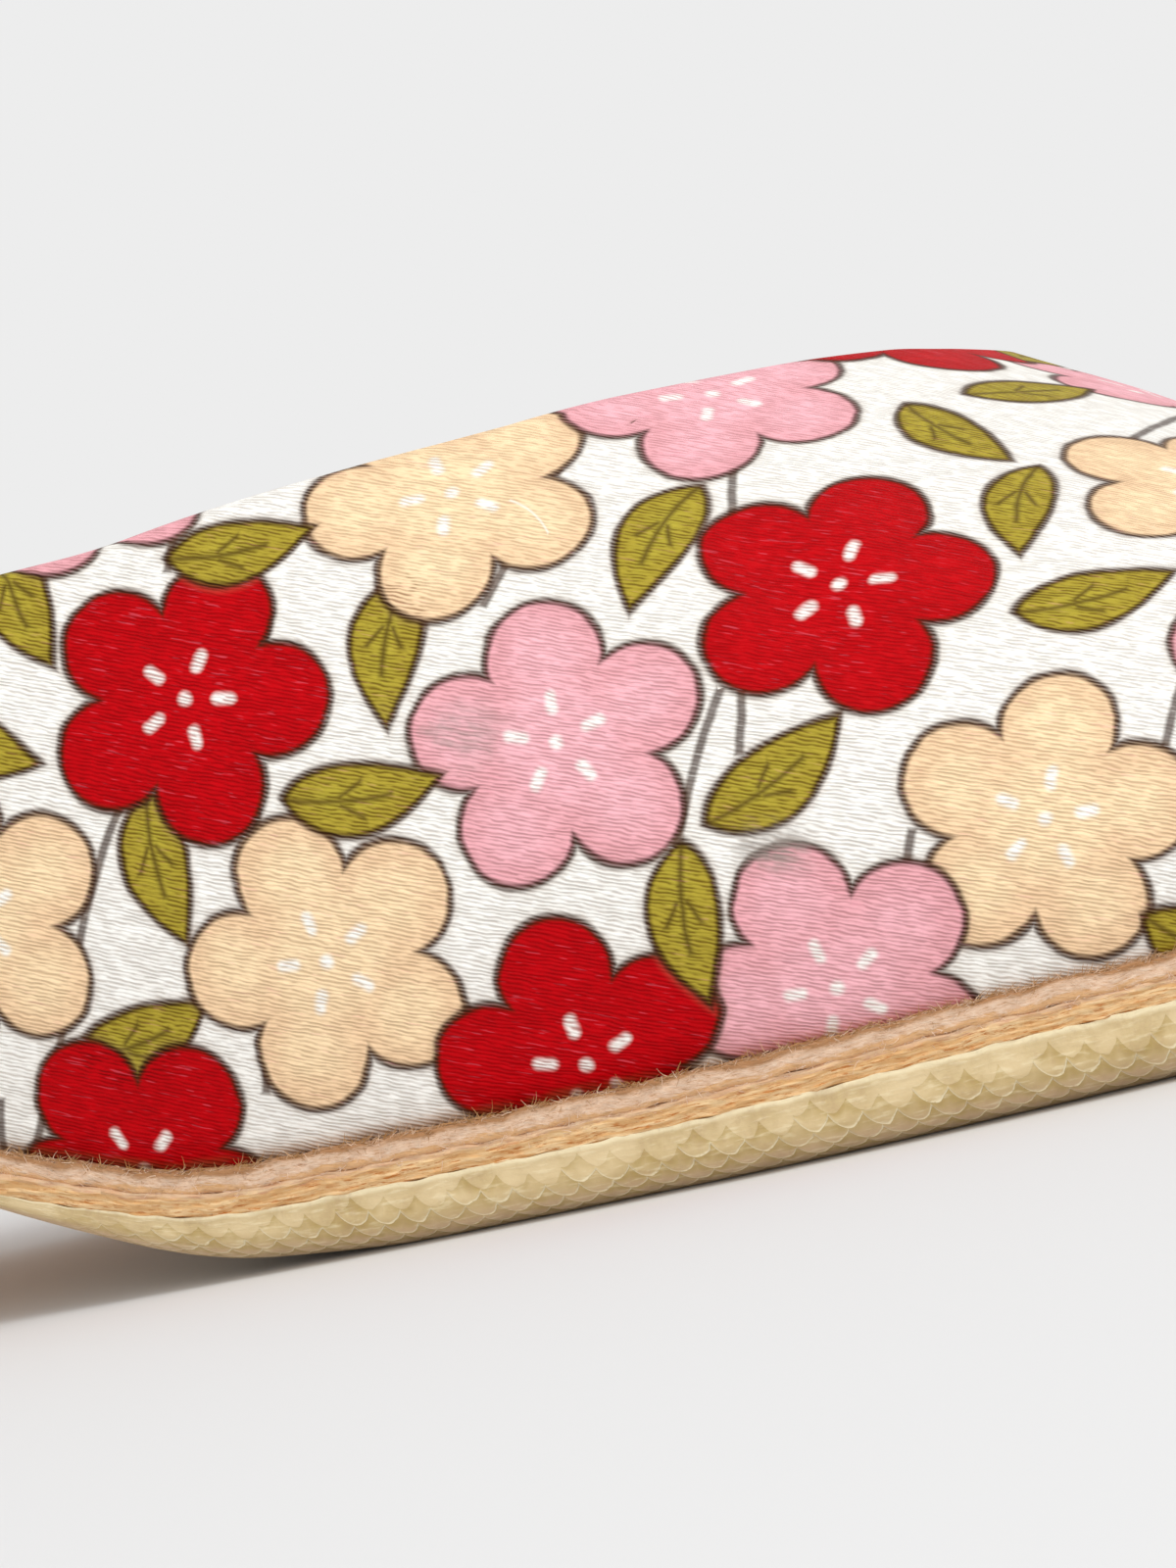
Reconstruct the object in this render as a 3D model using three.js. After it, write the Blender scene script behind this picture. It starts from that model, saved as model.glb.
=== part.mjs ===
// Slingback pump for the right foot, sizes in millimetres.
// +X points to the toe, +Y to the inner side of the foot, +Z up.
// The origin lies on the floor, under the ball of the foot.
import * as THREE from 'three';
import { mergeVertices } from 'three/addons/utils/BufferGeometryUtils.js';

// Last: the form that the shoe is made over
const toeReach = 85;
const heelReach = 152;
const ballWidth = 75;
const throatRise = 33;
const crownLean = 0.56;
const wallBulge = 2.2;
const bulgePlace = 0.8;
const sideRoundness = 0.8;
const topRoundness = 0.92;
const toeRound = 21;
const noseRound = 11;
const heelRound = 25;
const seatRise = 39;
const toeSpring = 3.5;
const springStart = 36;

// Layers of the sole, from the floor up
const treadThickness = 3.2;
const outsoleThickness = 0.8;
const midsoleThickness = 0.8;
const insoleThickness = 2;
const layerGap = 0.25;
const soleReach = 0.7;
const treadEdgeRound = 3.4;
const flatBehindBall = 13;
const treadBehindBall = 36;
const treadEndThickness = 0.6;
const treadSkive = 1.3;
const edgeRoomShare = 0.8;

// Upper and sling
const upperWall = 1.7;
const wingSlant = 9;
const wingCurve = 1.4;
const insoleBlend = 12;
const insoleEase = 0.4;
const strapWidth = 9;
const strapThickness = 1.8;
const strapLap = 21;
const strapBackInset = 6;
const strapFootOver = 9.7;
const strapTopOver = 51.5;
const strapHalfBreadth = 24;
const strapClearance = 1.0;

// Heel
const seatLength = 48;
const heelInset = 0.6;
const liftLength = 19;
const liftWidth = 17;
const liftBackInset = 7.5;
const liftThickness = 4;

// Facets
const stationStep = 6;
const sideSteps = 12;
const wingSteps = 26;
const wingCrowding = 1.6;
const roundSteps = 6;
const firstRoundAngle = THREE.MathUtils.degToRad(7);
const halvings = 40;
const strapSteps = 44;
const heelSideSteps = 5;
const heelBackSteps = 8;

const lateral = -1;
const medial = 1;

// Slope of the feather line as shares of its steepest value, by share of the reach
const slopeRows = [
  { at: -1.0, slope: 0.27 },
  { at: -0.671, slope: 0.27 },
  { at: -0.5, slope: 1.0 },
  { at: -0.303, slope: 0.96 },
  { at: -0.204, slope: 0.64 },
  { at: -0.178, slope: 0.58 },
  { at: -0.132, slope: 0.0 },
];

// Feather outline as shares of the ball width, by share of the reach
const outlineRows = [
  { at: -1.0, outer: 0.335, inner: 0.335 },
  { at: -0.8, outer: 0.337, inner: 0.335 },
  { at: -0.62, outer: 0.327, inner: 0.296 },
  { at: -0.45, outer: 0.328, inner: 0.24 },
  { at: -0.32, outer: 0.368, inner: 0.236 },
  { at: -0.18, outer: 0.437, inner: 0.31 },
  { at: -0.06, outer: 0.487, inner: 0.42 },
  { at: 0.06, outer: 0.502, inner: 0.475 },
  { at: 0.2, outer: 0.487, inner: 0.492 },
  { at: 0.38, outer: 0.432, inner: 0.472 },
  { at: 0.56, outer: 0.336, inner: 0.426 },
  { at: 0.74, outer: 0.214, inner: 0.35 },
  { at: 0.9, outer: 0.1, inner: 0.278 },
  { at: 1.0, outer: 0.035, inner: 0.235 },
];

// Crown of the last over the feather line as shares of the throat rise
const crownRows = [
  { at: -0.66, over: 1.66 },
  { at: -0.33, over: 1.64 },
  { at: -0.13, over: 1.47 },
  { at: 0.0, over: 1.27 },
  { at: 0.118, over: 1.128 },
  { at: 0.235, over: 0.995 },
  { at: 0.287, over: 0.935 },
  { at: 0.339, over: 0.877 },
  { at: 0.39, over: 0.808 },
  { at: 0.53, over: 0.65 },
  { at: 0.7, over: 0.478 },
  { at: 0.82, over: 0.375 },
  { at: 0.92, over: 0.3 },
  { at: 1.0, over: 0.25 },
];

// Topline over the feather line as shares of the throat rise
const toplineRows = [
  { at: -0.612, over: 0.724 },
  { at: -0.553, over: 0.636 },
  { at: -0.46, over: 0.545 },
  { at: -0.362, over: 0.588 },
  { at: -0.263, over: 0.742 },
  { at: -0.161, over: 0.929 },
  { at: -0.095, over: 0.968 },
  { at: -0.03, over: 0.988 },
  { at: 0.064, over: 1.004 },
  { at: 0.15, over: 1.006 },
  { at: 0.21, over: 1.002 },
  { at: 0.24, over: 0.99 },
  { at: 0.29, over: 0.965 },
  { at: 0.36, over: 0.95 },
];

// Side of the tread: how far in and how far up, as shares of its edge round and thickness
const treadEdgeRows = [
  { inward: 1.0, up: 0.0 },
  { inward: 0.62, up: 0.06 },
  { inward: 0.27, up: 0.24 },
  { inward: 0.06, up: 0.45 },
  { inward: 0.0, up: 0.62 },
  { inward: 0.0, up: 1.0 },
];

// Square side of a thin layer
const squareEdgeRows = [
  { inward: 0, up: 0 },
  { inward: 0, up: 1 },
];

// Sling: from its end inside the wing to the back of the ankle
const strapRows = [
  { run: 0.42, side: 0.99, rise: 0.4 },
  { run: 0.58, side: 1.0, rise: 0.56 },
  { run: 0.72, side: 0.97, rise: 0.71 },
  { run: 0.84, side: 0.8, rise: 0.84 },
  { run: 0.93, side: 0.54, rise: 0.94 },
  { run: 0.985, side: 0.26, rise: 0.99 },
];
const strapWallRows = [
  { run: 0, rise: 0 },
  { run: 0.09, rise: 0.083 },
  { run: 0.18, rise: 0.166 },
  { run: 0.27, rise: 0.248 },
];

// Heel: how far each level has slimmed from the seat to the top lift
const heelRows = [
  { up: 0, slim: 1 },
  { up: 0.2, slim: 0.985 },
  { up: 0.4, slim: 0.935 },
  { up: 0.56, slim: 0.85 },
  { up: 0.7, slim: 0.71 },
  { up: 0.82, slim: 0.51 },
  { up: 0.91, slim: 0.29 },
  { up: 0.97, slim: 0.09 },
  { up: 1, slim: 0 },
];

// Levels of the forepart, each layer a gap above the one below
const treadTop = treadThickness;
const outsoleBottom = treadTop + layerGap;
const outsoleTop = outsoleBottom + outsoleThickness;
const midsoleBottom = outsoleTop + layerGap;
const midsoleTop = midsoleBottom + midsoleThickness;
const featherLevel = midsoleTop + layerGap;

// Places along the shoe that follow from the sizes
const breastPlace = seatLength - heelReach;
const wingEnd = toplineRows[0].at * heelReach;
const wingFoot = wingEnd + wingSlant;
const strapStart = wingEnd + strapLap;
const strapBack = strapBackInset - heelReach;
const liftBack = liftBackInset - heelReach;
const flatEnd = -flatBehindBall;
const treadEnd = -treadBehindBall;

/** Reads a column of a table as a smooth curve that never overshoots its rows. */
function smoothColumn(rows, key, column) {
  const steps = rows.slice(1).map((row, i) => row[key] - rows[i][key]);
  const slopes = rows.slice(1).map((row, i) => (row[column] - rows[i][column]) / steps[i]);
  const tangents = rows.map((row, i) => {
    if (i === 0) return slopes[0];
    if (i === rows.length - 1) return slopes[i - 1];
    const [before, after] = [slopes[i - 1], slopes[i]];
    return before * after <= 0 ? 0 : (2 * before * after) / (before + after);
  });
  return (value) => {
    const clamped = THREE.MathUtils.clamp(value, rows[0][key], rows[rows.length - 1][key]);
    const next = rows.findIndex((row, i) => i > 0 && clamped <= row[key]);
    const i = next - 1;
    const t = (clamped - rows[i][key]) / steps[i];
    const fromStart = (1 + 2 * t) * (1 - t) ** 2 * rows[i][column];
    const fromEnd = t * t * (3 - 2 * t) * rows[next][column];
    const startPull = t * (1 - t) ** 2 * steps[i] * tangents[i];
    const endPull = t * t * (t - 1) * steps[i] * tangents[next];
    return fromStart + fromEnd + startPull + endPull;
  };
}

const outerShare = smoothColumn(outlineRows, 'at', 'outer');
const innerShare = smoothColumn(outlineRows, 'at', 'inner');
const crownShare = smoothColumn(crownRows, 'at', 'over');
const toplineShare = smoothColumn(toplineRows, 'at', 'over');

/** Place along the shoe as a share of the reach on its side of the ball. */
function shareOf(x, grow = 0) {
  return x / ((x < 0 ? heelReach : toeReach) + grow);
}

/** Area under the slope table between a place and the front of the shank. */
function slopeSum(at) {
  let sum = 0;
  for (let i = slopeRows.length - 1; i > 0; i -= 1) {
    const front = slopeRows[i];
    const rear = slopeRows[i - 1];
    if (at >= front.at) break;
    const stop = Math.max(at, rear.at);
    const part = (front.at - stop) / (front.at - rear.at);
    const slopeAtStop = front.slope + (rear.slope - front.slope) * part;
    sum += 0.5 * (front.slope + slopeAtStop) * (front.at - stop);
  }
  return sum;
}

const wholeSlopeSum = slopeSum(-1);

/** Height of the feather line over its level at the ball. */
function featherRise(x) {
  if (x > springStart) {
    return toeSpring * ((x - springStart) / (toeReach - springStart)) ** 2;
  }
  if (x >= 0) return 0;
  if (x < -heelReach) {
    const backSlope = (seatRise * slopeRows[0].slope) / (wholeSlopeSum * heelReach);
    return seatRise + (-heelReach - x) * backSlope;
  }
  return (seatRise * slopeSum(shareOf(x))) / wholeSlopeSum;
}

/** Height of the feather line over the floor. */
function featherZ(x) {
  return featherLevel + featherRise(x);
}

/** Share of the full breadth at a distance from a rounded end. */
function endShare(distance, radius) {
  const short = Math.max(0, 1 - distance / radius);
  return Math.sqrt(Math.max(0, 1 - short * short));
}

/** Height of the crown over the feather line, rounded off at the nose. */
function crownOver(x) {
  return crownShare(shareOf(x)) * throatRise * endShare(toeReach - x, noseRound);
}

/** Height of the topline over the feather line. */
function toplineOver(x) {
  return toplineShare(shareOf(x)) * throatRise;
}

/** Outline of the feather line, grown outward by an even margin. */
function outlineY(x, side, grow = 0) {
  const at = THREE.MathUtils.clamp(shareOf(x, grow), -1, 1);
  const reach = (x < 0 ? heelReach : toeReach) + grow;
  const outer = outerShare(at) * ballWidth + grow;
  const inner = innerShare(at) * ballWidth + grow;
  const axis = (inner - outer) / 2;
  const half = (inner + outer) / 2;
  const radius = (x < 0 ? heelRound : toeRound) + grow;
  return axis + side * half * endShare(reach - Math.abs(x), radius);
}

/** Places along the shoe, closer together at a rounded toe or heel. */
function stations(rear, front) {
  const places = [];
  const heelEnd = rear < -heelReach + heelRound;
  const toeEnd = front > toeReach - toeRound;
  const bodyRear = heelEnd ? rear + heelRound : rear;
  const bodyFront = toeEnd ? front - toeRound : front;
  const angles = Array.from(
    { length: roundSteps },
    (_, i) => firstRoundAngle + ((Math.PI / 2 - firstRoundAngle) * i) / roundSteps,
  );
  if (heelEnd) angles.forEach((angle) => places.push(rear + heelRound * (1 - Math.cos(angle))));
  const count = Math.max(1, Math.round((bodyFront - bodyRear) / stationStep));
  for (let i = 0; i <= count; i += 1) places.push(bodyRear + ((bodyFront - bodyRear) * i) / count);
  if (toeEnd) {
    angles.reverse().forEach((angle) => places.push(front - toeRound * (1 - Math.cos(angle))));
  }
  return places;
}

/** Closed geometry from triangles given as triples of points. */
function closedGeometry(triangles) {
  const soup = new THREE.BufferGeometry();
  soup.setAttribute('position', new THREE.Float32BufferAttribute(triangles.flat(2), 3));
  const merged = mergeVertices(soup, 1e-4);
  const index = Array.from(merged.index.array);
  const kept = [];
  for (let i = 0; i < index.length; i += 3) {
    const [a, b, c] = index.slice(i, i + 3);
    if (a !== b && b !== c && c !== a) kept.push(a, b, c);
  }
  merged.setIndex(kept);
  return merged;
}

/** Two triangles for each cell between two rows of points. */
function strip(first, second, closed = false) {
  const triangles = [];
  const count = closed ? first.length : first.length - 1;
  for (let i = 0; i < count; i += 1) {
    const j = (i + 1) % first.length;
    triangles.push([first[i], second[i], second[j]], [first[i], second[j], first[j]]);
  }
  return triangles;
}

/** Flat end of a loft, as a fan around the ring's middle. */
function cap(ring, flipped) {
  const middle = [0, 1, 2].map((k) => ring.reduce((sum, p) => sum + p[k], 0) / ring.length);
  return ring.map((point, i) => {
    const next = ring[(i + 1) % ring.length];
    return flipped ? [middle, next, point] : [middle, point, next];
  });
}

/** Solid through rings of points, listed counter-clockwise as seen from the last ring. */
function loft(rings) {
  const triangles = [...cap(rings[0], true), ...cap(rings[rings.length - 1], false)];
  for (let i = 1; i < rings.length; i += 1) triangles.push(...strip(rings[i], rings[i - 1], true));
  return closedGeometry(triangles);
}

/** Ring across a sole layer at one place, seen from the toe. */
function layerRing(x, layer) {
  const bottom = layer.bottom(x);
  const thickness = layer.top(x) - bottom;
  const inset = layer.edgeRound ?? 0;
  const edge = (side) => layer.edge.map((row) => {
    const shrink = (row.inward * inset * thickness) / layer.thickness;
    const y = outlineY(x, side, layer.grow(x));
    const room = Math.abs(y - outlineY(x, -side, layer.grow(x))) / 2;
    return [x, y - side * Math.min(shrink, room * edgeRoomShare), bottom + row.up * thickness];
  });
  return [...edge(medial), ...edge(lateral).reverse()];
}

/** Sole layer that follows the feather line along the shoe. */
function soleLayer(layer) {
  return loft(stations(layer.rear, layer.front).map((x) => layerRing(x, layer)));
}

/** Point of the last's surface: turn runs from -1 at the outer feather to 1 at the inner. */
function lastPoint(x, turn) {
  const side = turn < 0 ? lateral : medial;
  const angle = (1 - Math.abs(turn)) * (Math.PI / 2);
  const high = Math.sin(angle) ** topRoundness;
  const wide = Math.max(0, Math.cos(angle)) ** sideRoundness;
  const outer = outlineY(x, lateral);
  const inner = outlineY(x, medial);
  const ridge = outer + crownLean * (inner - outer);
  const edge = side === lateral ? outer : inner;
  const fullness = Math.min(1, Math.abs(inner - outer) / (ballWidth / 2));
  const bulge = side * wallBulge * fullness * Math.sin(Math.PI * high ** bulgePlace);
  return [x, ridge + (edge - ridge) * wide + bulge, featherZ(x) + crownOver(x) * high];
}

/** Direction out of the last's surface, level along the feather line. */
function lastNormal(x, turn) {
  const reach = 0.01;
  const nudge = 0.002;
  const at = (place, way) => new THREE.Vector3(...lastPoint(place, way));
  const along = at(Math.min(x + reach, toeReach), turn).sub(at(x - reach, turn));
  const around = at(x, Math.min(turn + nudge, 1)).sub(at(x, Math.max(turn - nudge, -1)));
  if (Math.abs(turn) === 1) {
    along.z = 0;
    around.set(0, 0, -turn);
  }
  return along.cross(around).normalize();
}

/** Place where the topline meets the crown, at the middle of the throat. */
function findThroat() {
  let [behind, ahead] = [0, toplineRows[toplineRows.length - 1].at * toeReach];
  for (let i = 0; i < halvings; i += 1) {
    const middle = (behind + ahead) / 2;
    if (crownOver(middle) > toplineOver(middle)) behind = middle;
    else ahead = middle;
  }
  return behind;
}

const throatPlace = findThroat();

/** Share of the way from feather to ridge at which the topline cuts the last. */
function toplineCut(x) {
  if (x >= throatPlace) return 1;
  const high = Math.min(1, toplineOver(x) / crownOver(x));
  return Math.asin(high ** (1 / topRoundness)) / (Math.PI / 2);
}

/** Rows of places over one side of the upper, from the wing's rear edge to the toe. */
function sideRows(side) {
  const ups = Array.from({ length: sideSteps + 1 }, (_, i) => i / sideSteps);
  const behind = Array.from({ length: wingSteps }, (_, i) => (1 - i / wingSteps) ** wingCrowding);
  const wings = behind.map((share) => ups.map((up) => {
    const rear = THREE.MathUtils.lerp(wingFoot, wingEnd, up ** wingCurve);
    const x = THREE.MathUtils.lerp(throatPlace, rear, share);
    return { x, turn: side * (1 - up * toplineCut(x)) };
  }));
  const vamp = stations(throatPlace, toeReach).map((x) => ups.map((up) => (
    { x, turn: side * (1 - up) }
  )));
  return [...wings, ...vamp];
}

/** One side of the upper as facets: outside, inside, feather edge, rear edge and topline. */
function upperSide(side) {
  const rows = sideRows(side);
  const skin = (depth) => {
    const grid = rows.map((row) => row.map(({ x, turn }) => {
      const normal = lastNormal(x, turn);
      return lastPoint(x, turn).map((value, k) => value - depth * normal.getComponent(k));
    }));
    const tip = [toeReach - depth, outlineY(toeReach, medial), featherZ(toeReach)];
    return [...grid, grid[0].map(() => tip)];
  };
  const outside = skin(0);
  const inside = skin(upperWall);
  const column = (grid, j) => grid.map((row) => row[j]);
  const triangles = [];
  for (let i = 0; i < outside.length - 1; i += 1) {
    triangles.push(...strip(outside[i], outside[i + 1]), ...strip(inside[i + 1], inside[i]));
  }
  const rim = (grid) => column(grid, sideSteps).slice(0, wingSteps + 1);
  triangles.push(...strip(column(outside, 0), column(inside, 0)));
  triangles.push(...strip(rim(inside), rim(outside)));
  triangles.push(...strip(inside[0], outside[0]));
  return side === lateral ? triangles : triangles.map(([a, b, c]) => [a, c, b]);
}

/** Upper: one hollow wall over the toe and along both sides, open at the collar and beneath. */
function upperGeometry() {
  return closedGeometry([...upperSide(lateral), ...upperSide(medial)]);
}

/** Place on the inside of the wing wall at a height, moved in by a clearance. */
function wingInside(x, z, side, clearance) {
  let [low, high] = [0, 1];
  for (let i = 0; i < halvings; i += 1) {
    const middle = (low + high) / 2;
    if (lastPoint(x, side * (1 - middle))[2] < z) low = middle;
    else high = middle;
  }
  const y = lastPoint(x, side * (1 - low))[1];
  return [x, y - side * clearance, z];
}

/** Middle line of the sling from the outer wing round the ankle to the inner wing. */
function strapPath() {
  const reach = strapBack - strapStart;
  const strapFoot = featherZ(strapStart) + strapFootOver;
  const strapTop = featherZ(-heelReach) + strapTopOver;
  const climb = strapTop - strapFoot;
  const half = (side) => [
    ...strapWallRows.map((row) => new THREE.Vector3(...wingInside(
      strapStart + row.run * reach,
      strapFoot + row.rise * climb,
      side,
      upperWall + strapClearance + strapThickness / 2,
    ))),
    ...strapRows.map((row) => new THREE.Vector3(
      strapStart + row.run * reach,
      side * row.side * strapHalfBreadth,
      strapFoot + row.rise * climb,
    )),
  ];
  const back = new THREE.Vector3(strapBack, 0, strapTop);
  const points = [...half(lateral), back, ...half(medial).reverse()];
  return new THREE.CatmullRomCurve3(points, false, 'centripetal');
}

/** Sling: a flat band that stands upright along its path. */
function strapGeometry() {
  const path = strapPath();
  const up = new THREE.Vector3(0, 0, 1);
  const rings = Array.from({ length: strapSteps + 1 }, (_, i) => {
    const place = path.getPointAt(i / strapSteps);
    const along = path.getTangentAt(i / strapSteps);
    const outward = along.clone().cross(up).normalize();
    const across = outward.clone().cross(along).normalize();
    const corner = (out, high) => place.clone()
      .addScaledVector(outward, out * strapThickness * 0.5)
      .addScaledVector(across, high * strapWidth * 0.5)
      .toArray();
    return [corner(-1, -1), corner(-1, 1), corner(1, 1), corner(1, -1)];
  });
  return loft(rings);
}

/** Outline of the seat under the midsole, from the inner breast corner round the back. */
function seatOutline() {
  const sideEnd = -heelReach + heelRound;
  const points = [];
  const sides = Array.from(
    { length: heelSideSteps },
    (_, i) => breastPlace + ((sideEnd - breastPlace) * i) / heelSideSteps,
  );
  const backs = Array.from({ length: heelBackSteps }, (_, i) => (Math.PI / 2) * (i / heelBackSteps));
  const places = [
    ...sides,
    ...backs.map((angle) => -heelReach + heelInset + (heelRound - heelInset) * (1 - Math.sin(angle))),
  ];
  places.forEach((x) => points.push([x, outlineY(x, medial, -heelInset)]));
  points.push([-heelReach + heelInset, outlineY(-heelReach + heelInset, medial, -heelInset)]);
  places.reverse().forEach((x) => points.push([x, outlineY(x, lateral, -heelInset)]));
  return points;
}

/** Outline of the top lift: flat at the breast and round at the back, with as many points. */
function liftOutline(count) {
  const half = liftWidth / 2;
  const front = liftBack + liftLength;
  const roundStart = liftBack + half;
  const sideCount = heelSideSteps;
  const backCount = count - 2 * sideCount;
  const points = [];
  for (let i = 0; i < sideCount; i += 1) {
    points.push([front + ((roundStart - front) * i) / sideCount, half]);
  }
  for (let i = 0; i < backCount; i += 1) {
    const angle = (Math.PI * i) / (backCount - 1);
    points.push([roundStart - half * Math.sin(angle), half * Math.cos(angle)]);
  }
  for (let i = sideCount - 1; i >= 0; i -= 1) {
    points.push([front + ((roundStart - front) * i) / sideCount, -half]);
  }
  return points;
}

/** Heel: slims from the seat outline to the top lift. */
function heelGeometry() {
  const seat = seatOutline();
  const lift = liftOutline(seat.length);
  const foot = liftThickness + layerGap;
  const rings = heelRows.map((row) => seat.map(([seatX, seatY], i) => {
    const top = midsoleBottom - layerGap + featherRise(seatX);
    return [
      THREE.MathUtils.lerp(seatX, lift[i][0], row.slim),
      THREE.MathUtils.lerp(seatY, lift[i][1], row.slim),
      THREE.MathUtils.lerp(foot, top, row.up),
    ];
  }));
  return loft(rings);
}

/** Top lift: the small block that the heel stands on. */
function liftGeometry() {
  const outline = liftOutline(seatOutline().length);
  return loft([0, liftThickness].map((z) => outline.map(([x, y]) => [x, y, z])));
}

/** Thickness of the tread, skived towards its rear edge. */
function treadDepth(x) {
  if (x >= flatEnd) return treadThickness;
  const part = (x - flatEnd) / (treadEnd - flatEnd);
  return treadThickness - (treadThickness - treadEndThickness) * part ** treadSkive;
}

const treadGeometry = () => soleLayer({
  rear: treadEnd,
  front: toeReach + soleReach,
  bottom: (x) => treadTop + featherRise(x) - treadDepth(x),
  top: (x) => treadTop + featherRise(x),
  grow: () => soleReach,
  edge: treadEdgeRows,
  edgeRound: treadEdgeRound,
  thickness: treadThickness,
});

const outsoleGeometry = () => soleLayer({
  rear: breastPlace + layerGap,
  front: toeReach + soleReach,
  bottom: (x) => outsoleBottom + featherRise(x),
  top: (x) => outsoleTop + featherRise(x),
  grow: () => soleReach,
  edge: squareEdgeRows,
  thickness: outsoleThickness,
});

const midsoleGeometry = () => soleLayer({
  rear: -heelReach,
  front: toeReach + soleReach,
  bottom: (x) => midsoleBottom + featherRise(x),
  top: (x) => midsoleTop + featherRise(x),
  grow: (x) => soleReach * THREE.MathUtils.smoothstep(x, breastPlace, 0),
  edge: squareEdgeRows,
  thickness: midsoleThickness,
});

/** Insole: inside the wall of the upper, and out to the edge of the seat behind the wings. */
const insoleGeometry = () => {
  const inside = upperWall + insoleEase;
  return soleLayer({
    rear: -heelReach,
    front: toeReach - inside,
    bottom: (x) => featherLevel + featherRise(x),
    top: (x) => featherLevel + insoleThickness + featherRise(x),
    grow: (x) => -inside * THREE.MathUtils.smoothstep(x, wingEnd - insoleBlend, wingEnd),
    edge: squareEdgeRows,
    thickness: insoleThickness,
  });
};

const finishes = {
  printedSatin: { color: 0xefe9e2, roughness: 0.42, metalness: 0 },
  sockLeather: { color: 0xd9b9a4, roughness: 0.6, metalness: 0 },
  fibreEdge: { color: 0xc8aa9b, roughness: 0.85, metalness: 0 },
  soleLeather: { color: 0xc8965a, roughness: 0.7, metalness: 0 },
  treadRubber: { color: 0xbeac84, roughness: 0.8, metalness: 0 },
  liftPlastic: { color: 0x8b7355, roughness: 0.6, metalness: 0 },
};

/** Named mesh with a material of its own. */
function piece(name, geometry, finish) {
  geometry.computeVertexNormals();
  const mesh = new THREE.Mesh(geometry, new THREE.MeshStandardMaterial(finish));
  mesh.name = name;
  return mesh;
}

const shoe = new THREE.Group();
shoe.add(
  piece('upper', upperGeometry(), finishes.printedSatin),
  piece('sling_strap', strapGeometry(), finishes.printedSatin),
  piece('insole', insoleGeometry(), finishes.sockLeather),
  piece('midsole', midsoleGeometry(), finishes.fibreEdge),
  piece('outsole', outsoleGeometry(), finishes.soleLeather),
  piece('half_sole', treadGeometry(), finishes.treadRubber),
  piece('heel', heelGeometry(), finishes.printedSatin),
  piece('top_lift', liftGeometry(), finishes.liftPlastic),
);

export default shoe;
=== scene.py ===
"""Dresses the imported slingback: printed satin, lining, layered sole, covered heel and studio."""
import logging
import math
from dataclasses import dataclass
from enum import Enum, IntEnum
from functools import cached_property
from typing import Any, Callable

import bmesh
import bpy
import numpy as np
from mathutils import Matrix, Vector


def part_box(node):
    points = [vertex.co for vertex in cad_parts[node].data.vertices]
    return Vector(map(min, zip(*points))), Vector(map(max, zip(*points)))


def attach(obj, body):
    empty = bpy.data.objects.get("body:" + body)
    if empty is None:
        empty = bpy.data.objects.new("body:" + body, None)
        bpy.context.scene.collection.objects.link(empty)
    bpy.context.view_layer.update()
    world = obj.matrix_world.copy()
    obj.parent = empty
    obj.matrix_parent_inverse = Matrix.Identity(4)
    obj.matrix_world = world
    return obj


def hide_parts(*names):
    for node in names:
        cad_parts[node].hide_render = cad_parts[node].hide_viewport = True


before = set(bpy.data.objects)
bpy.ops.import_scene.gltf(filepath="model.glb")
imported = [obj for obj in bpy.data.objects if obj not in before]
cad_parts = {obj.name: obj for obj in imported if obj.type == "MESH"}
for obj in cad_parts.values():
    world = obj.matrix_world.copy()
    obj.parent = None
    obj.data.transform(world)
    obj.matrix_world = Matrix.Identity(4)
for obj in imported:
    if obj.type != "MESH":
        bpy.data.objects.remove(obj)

MM = 0.001
BODY = "root"
CLEAN_HEM = 20.0
log = logging.getLogger("slingback")

Array = np.ndarray
Material = bpy.types.Material
Sheet = bmesh.types.BMesh
Placer = Callable[[Array, Array], tuple[Array, Array]]
Colour = tuple[float, ...]
Point = tuple[float, float, float]


class Side(IntEnum):
    """Side of the shoe, by the sign of Y there."""

    OUTER = -1
    INNER = 1


# Shape of the last, in millimetres


@dataclass(frozen=True)
class SmoothTable:
    """Smooth curve through the rows of a short table, which never overshoots them."""

    places: tuple[float, ...]
    values: tuple[float, ...]

    def __call__(self, place: Array) -> Array:
        """Values of the curve at the places.

        Args:
            place: Places, held between the table's ends.

        Returns:
            A value for each place.
        """
        x, y = np.array(self.places), np.array(self.values)
        steps = np.diff(x)
        slopes = np.diff(y) / steps
        product = slopes[:-1] * slopes[1:]
        total = np.where(product > 0, slopes[:-1] + slopes[1:], 1.0)
        middle = np.where(product > 0, 2 * product / total, 0.0)
        tangents = np.concatenate((slopes[:1], middle, slopes[-1:]))
        at = np.clip(place, x[0], x[-1])
        i = np.clip(np.searchsorted(x, at) - 1, 0, len(steps) - 1)
        t = (at - x[i]) / steps[i]
        ends = (1 + 2 * t) * (1 - t) ** 2 * y[i] + t * t * (3 - 2 * t) * y[i + 1]
        pulls = t * (1 - t) ** 2 * tangents[i] + t * t * (t - 1) * tangents[i + 1]
        return ends + pulls * steps[i]


def smoothstep(value: Array, low: float, high: float) -> Array:
    """Smooth rise from 0 at low to 1 at high."""
    t = np.clip((value - low) / (high - low), 0, 1)
    return t * t * (3 - 2 * t)


def unit(vectors: Array) -> Array:
    """Vectors scaled to a length of one."""
    return vectors / np.maximum(np.linalg.norm(vectors, axis=-1, keepdims=True), 1e-12)


def run_lengths(points: Array, axis: int) -> Array:
    """Lengths along lines of points, each from its first point."""
    steps = np.linalg.norm(np.diff(points, axis=axis), axis=-1)
    return np.cumsum(np.insert(steps, 0, 0.0, axis), axis)


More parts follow.
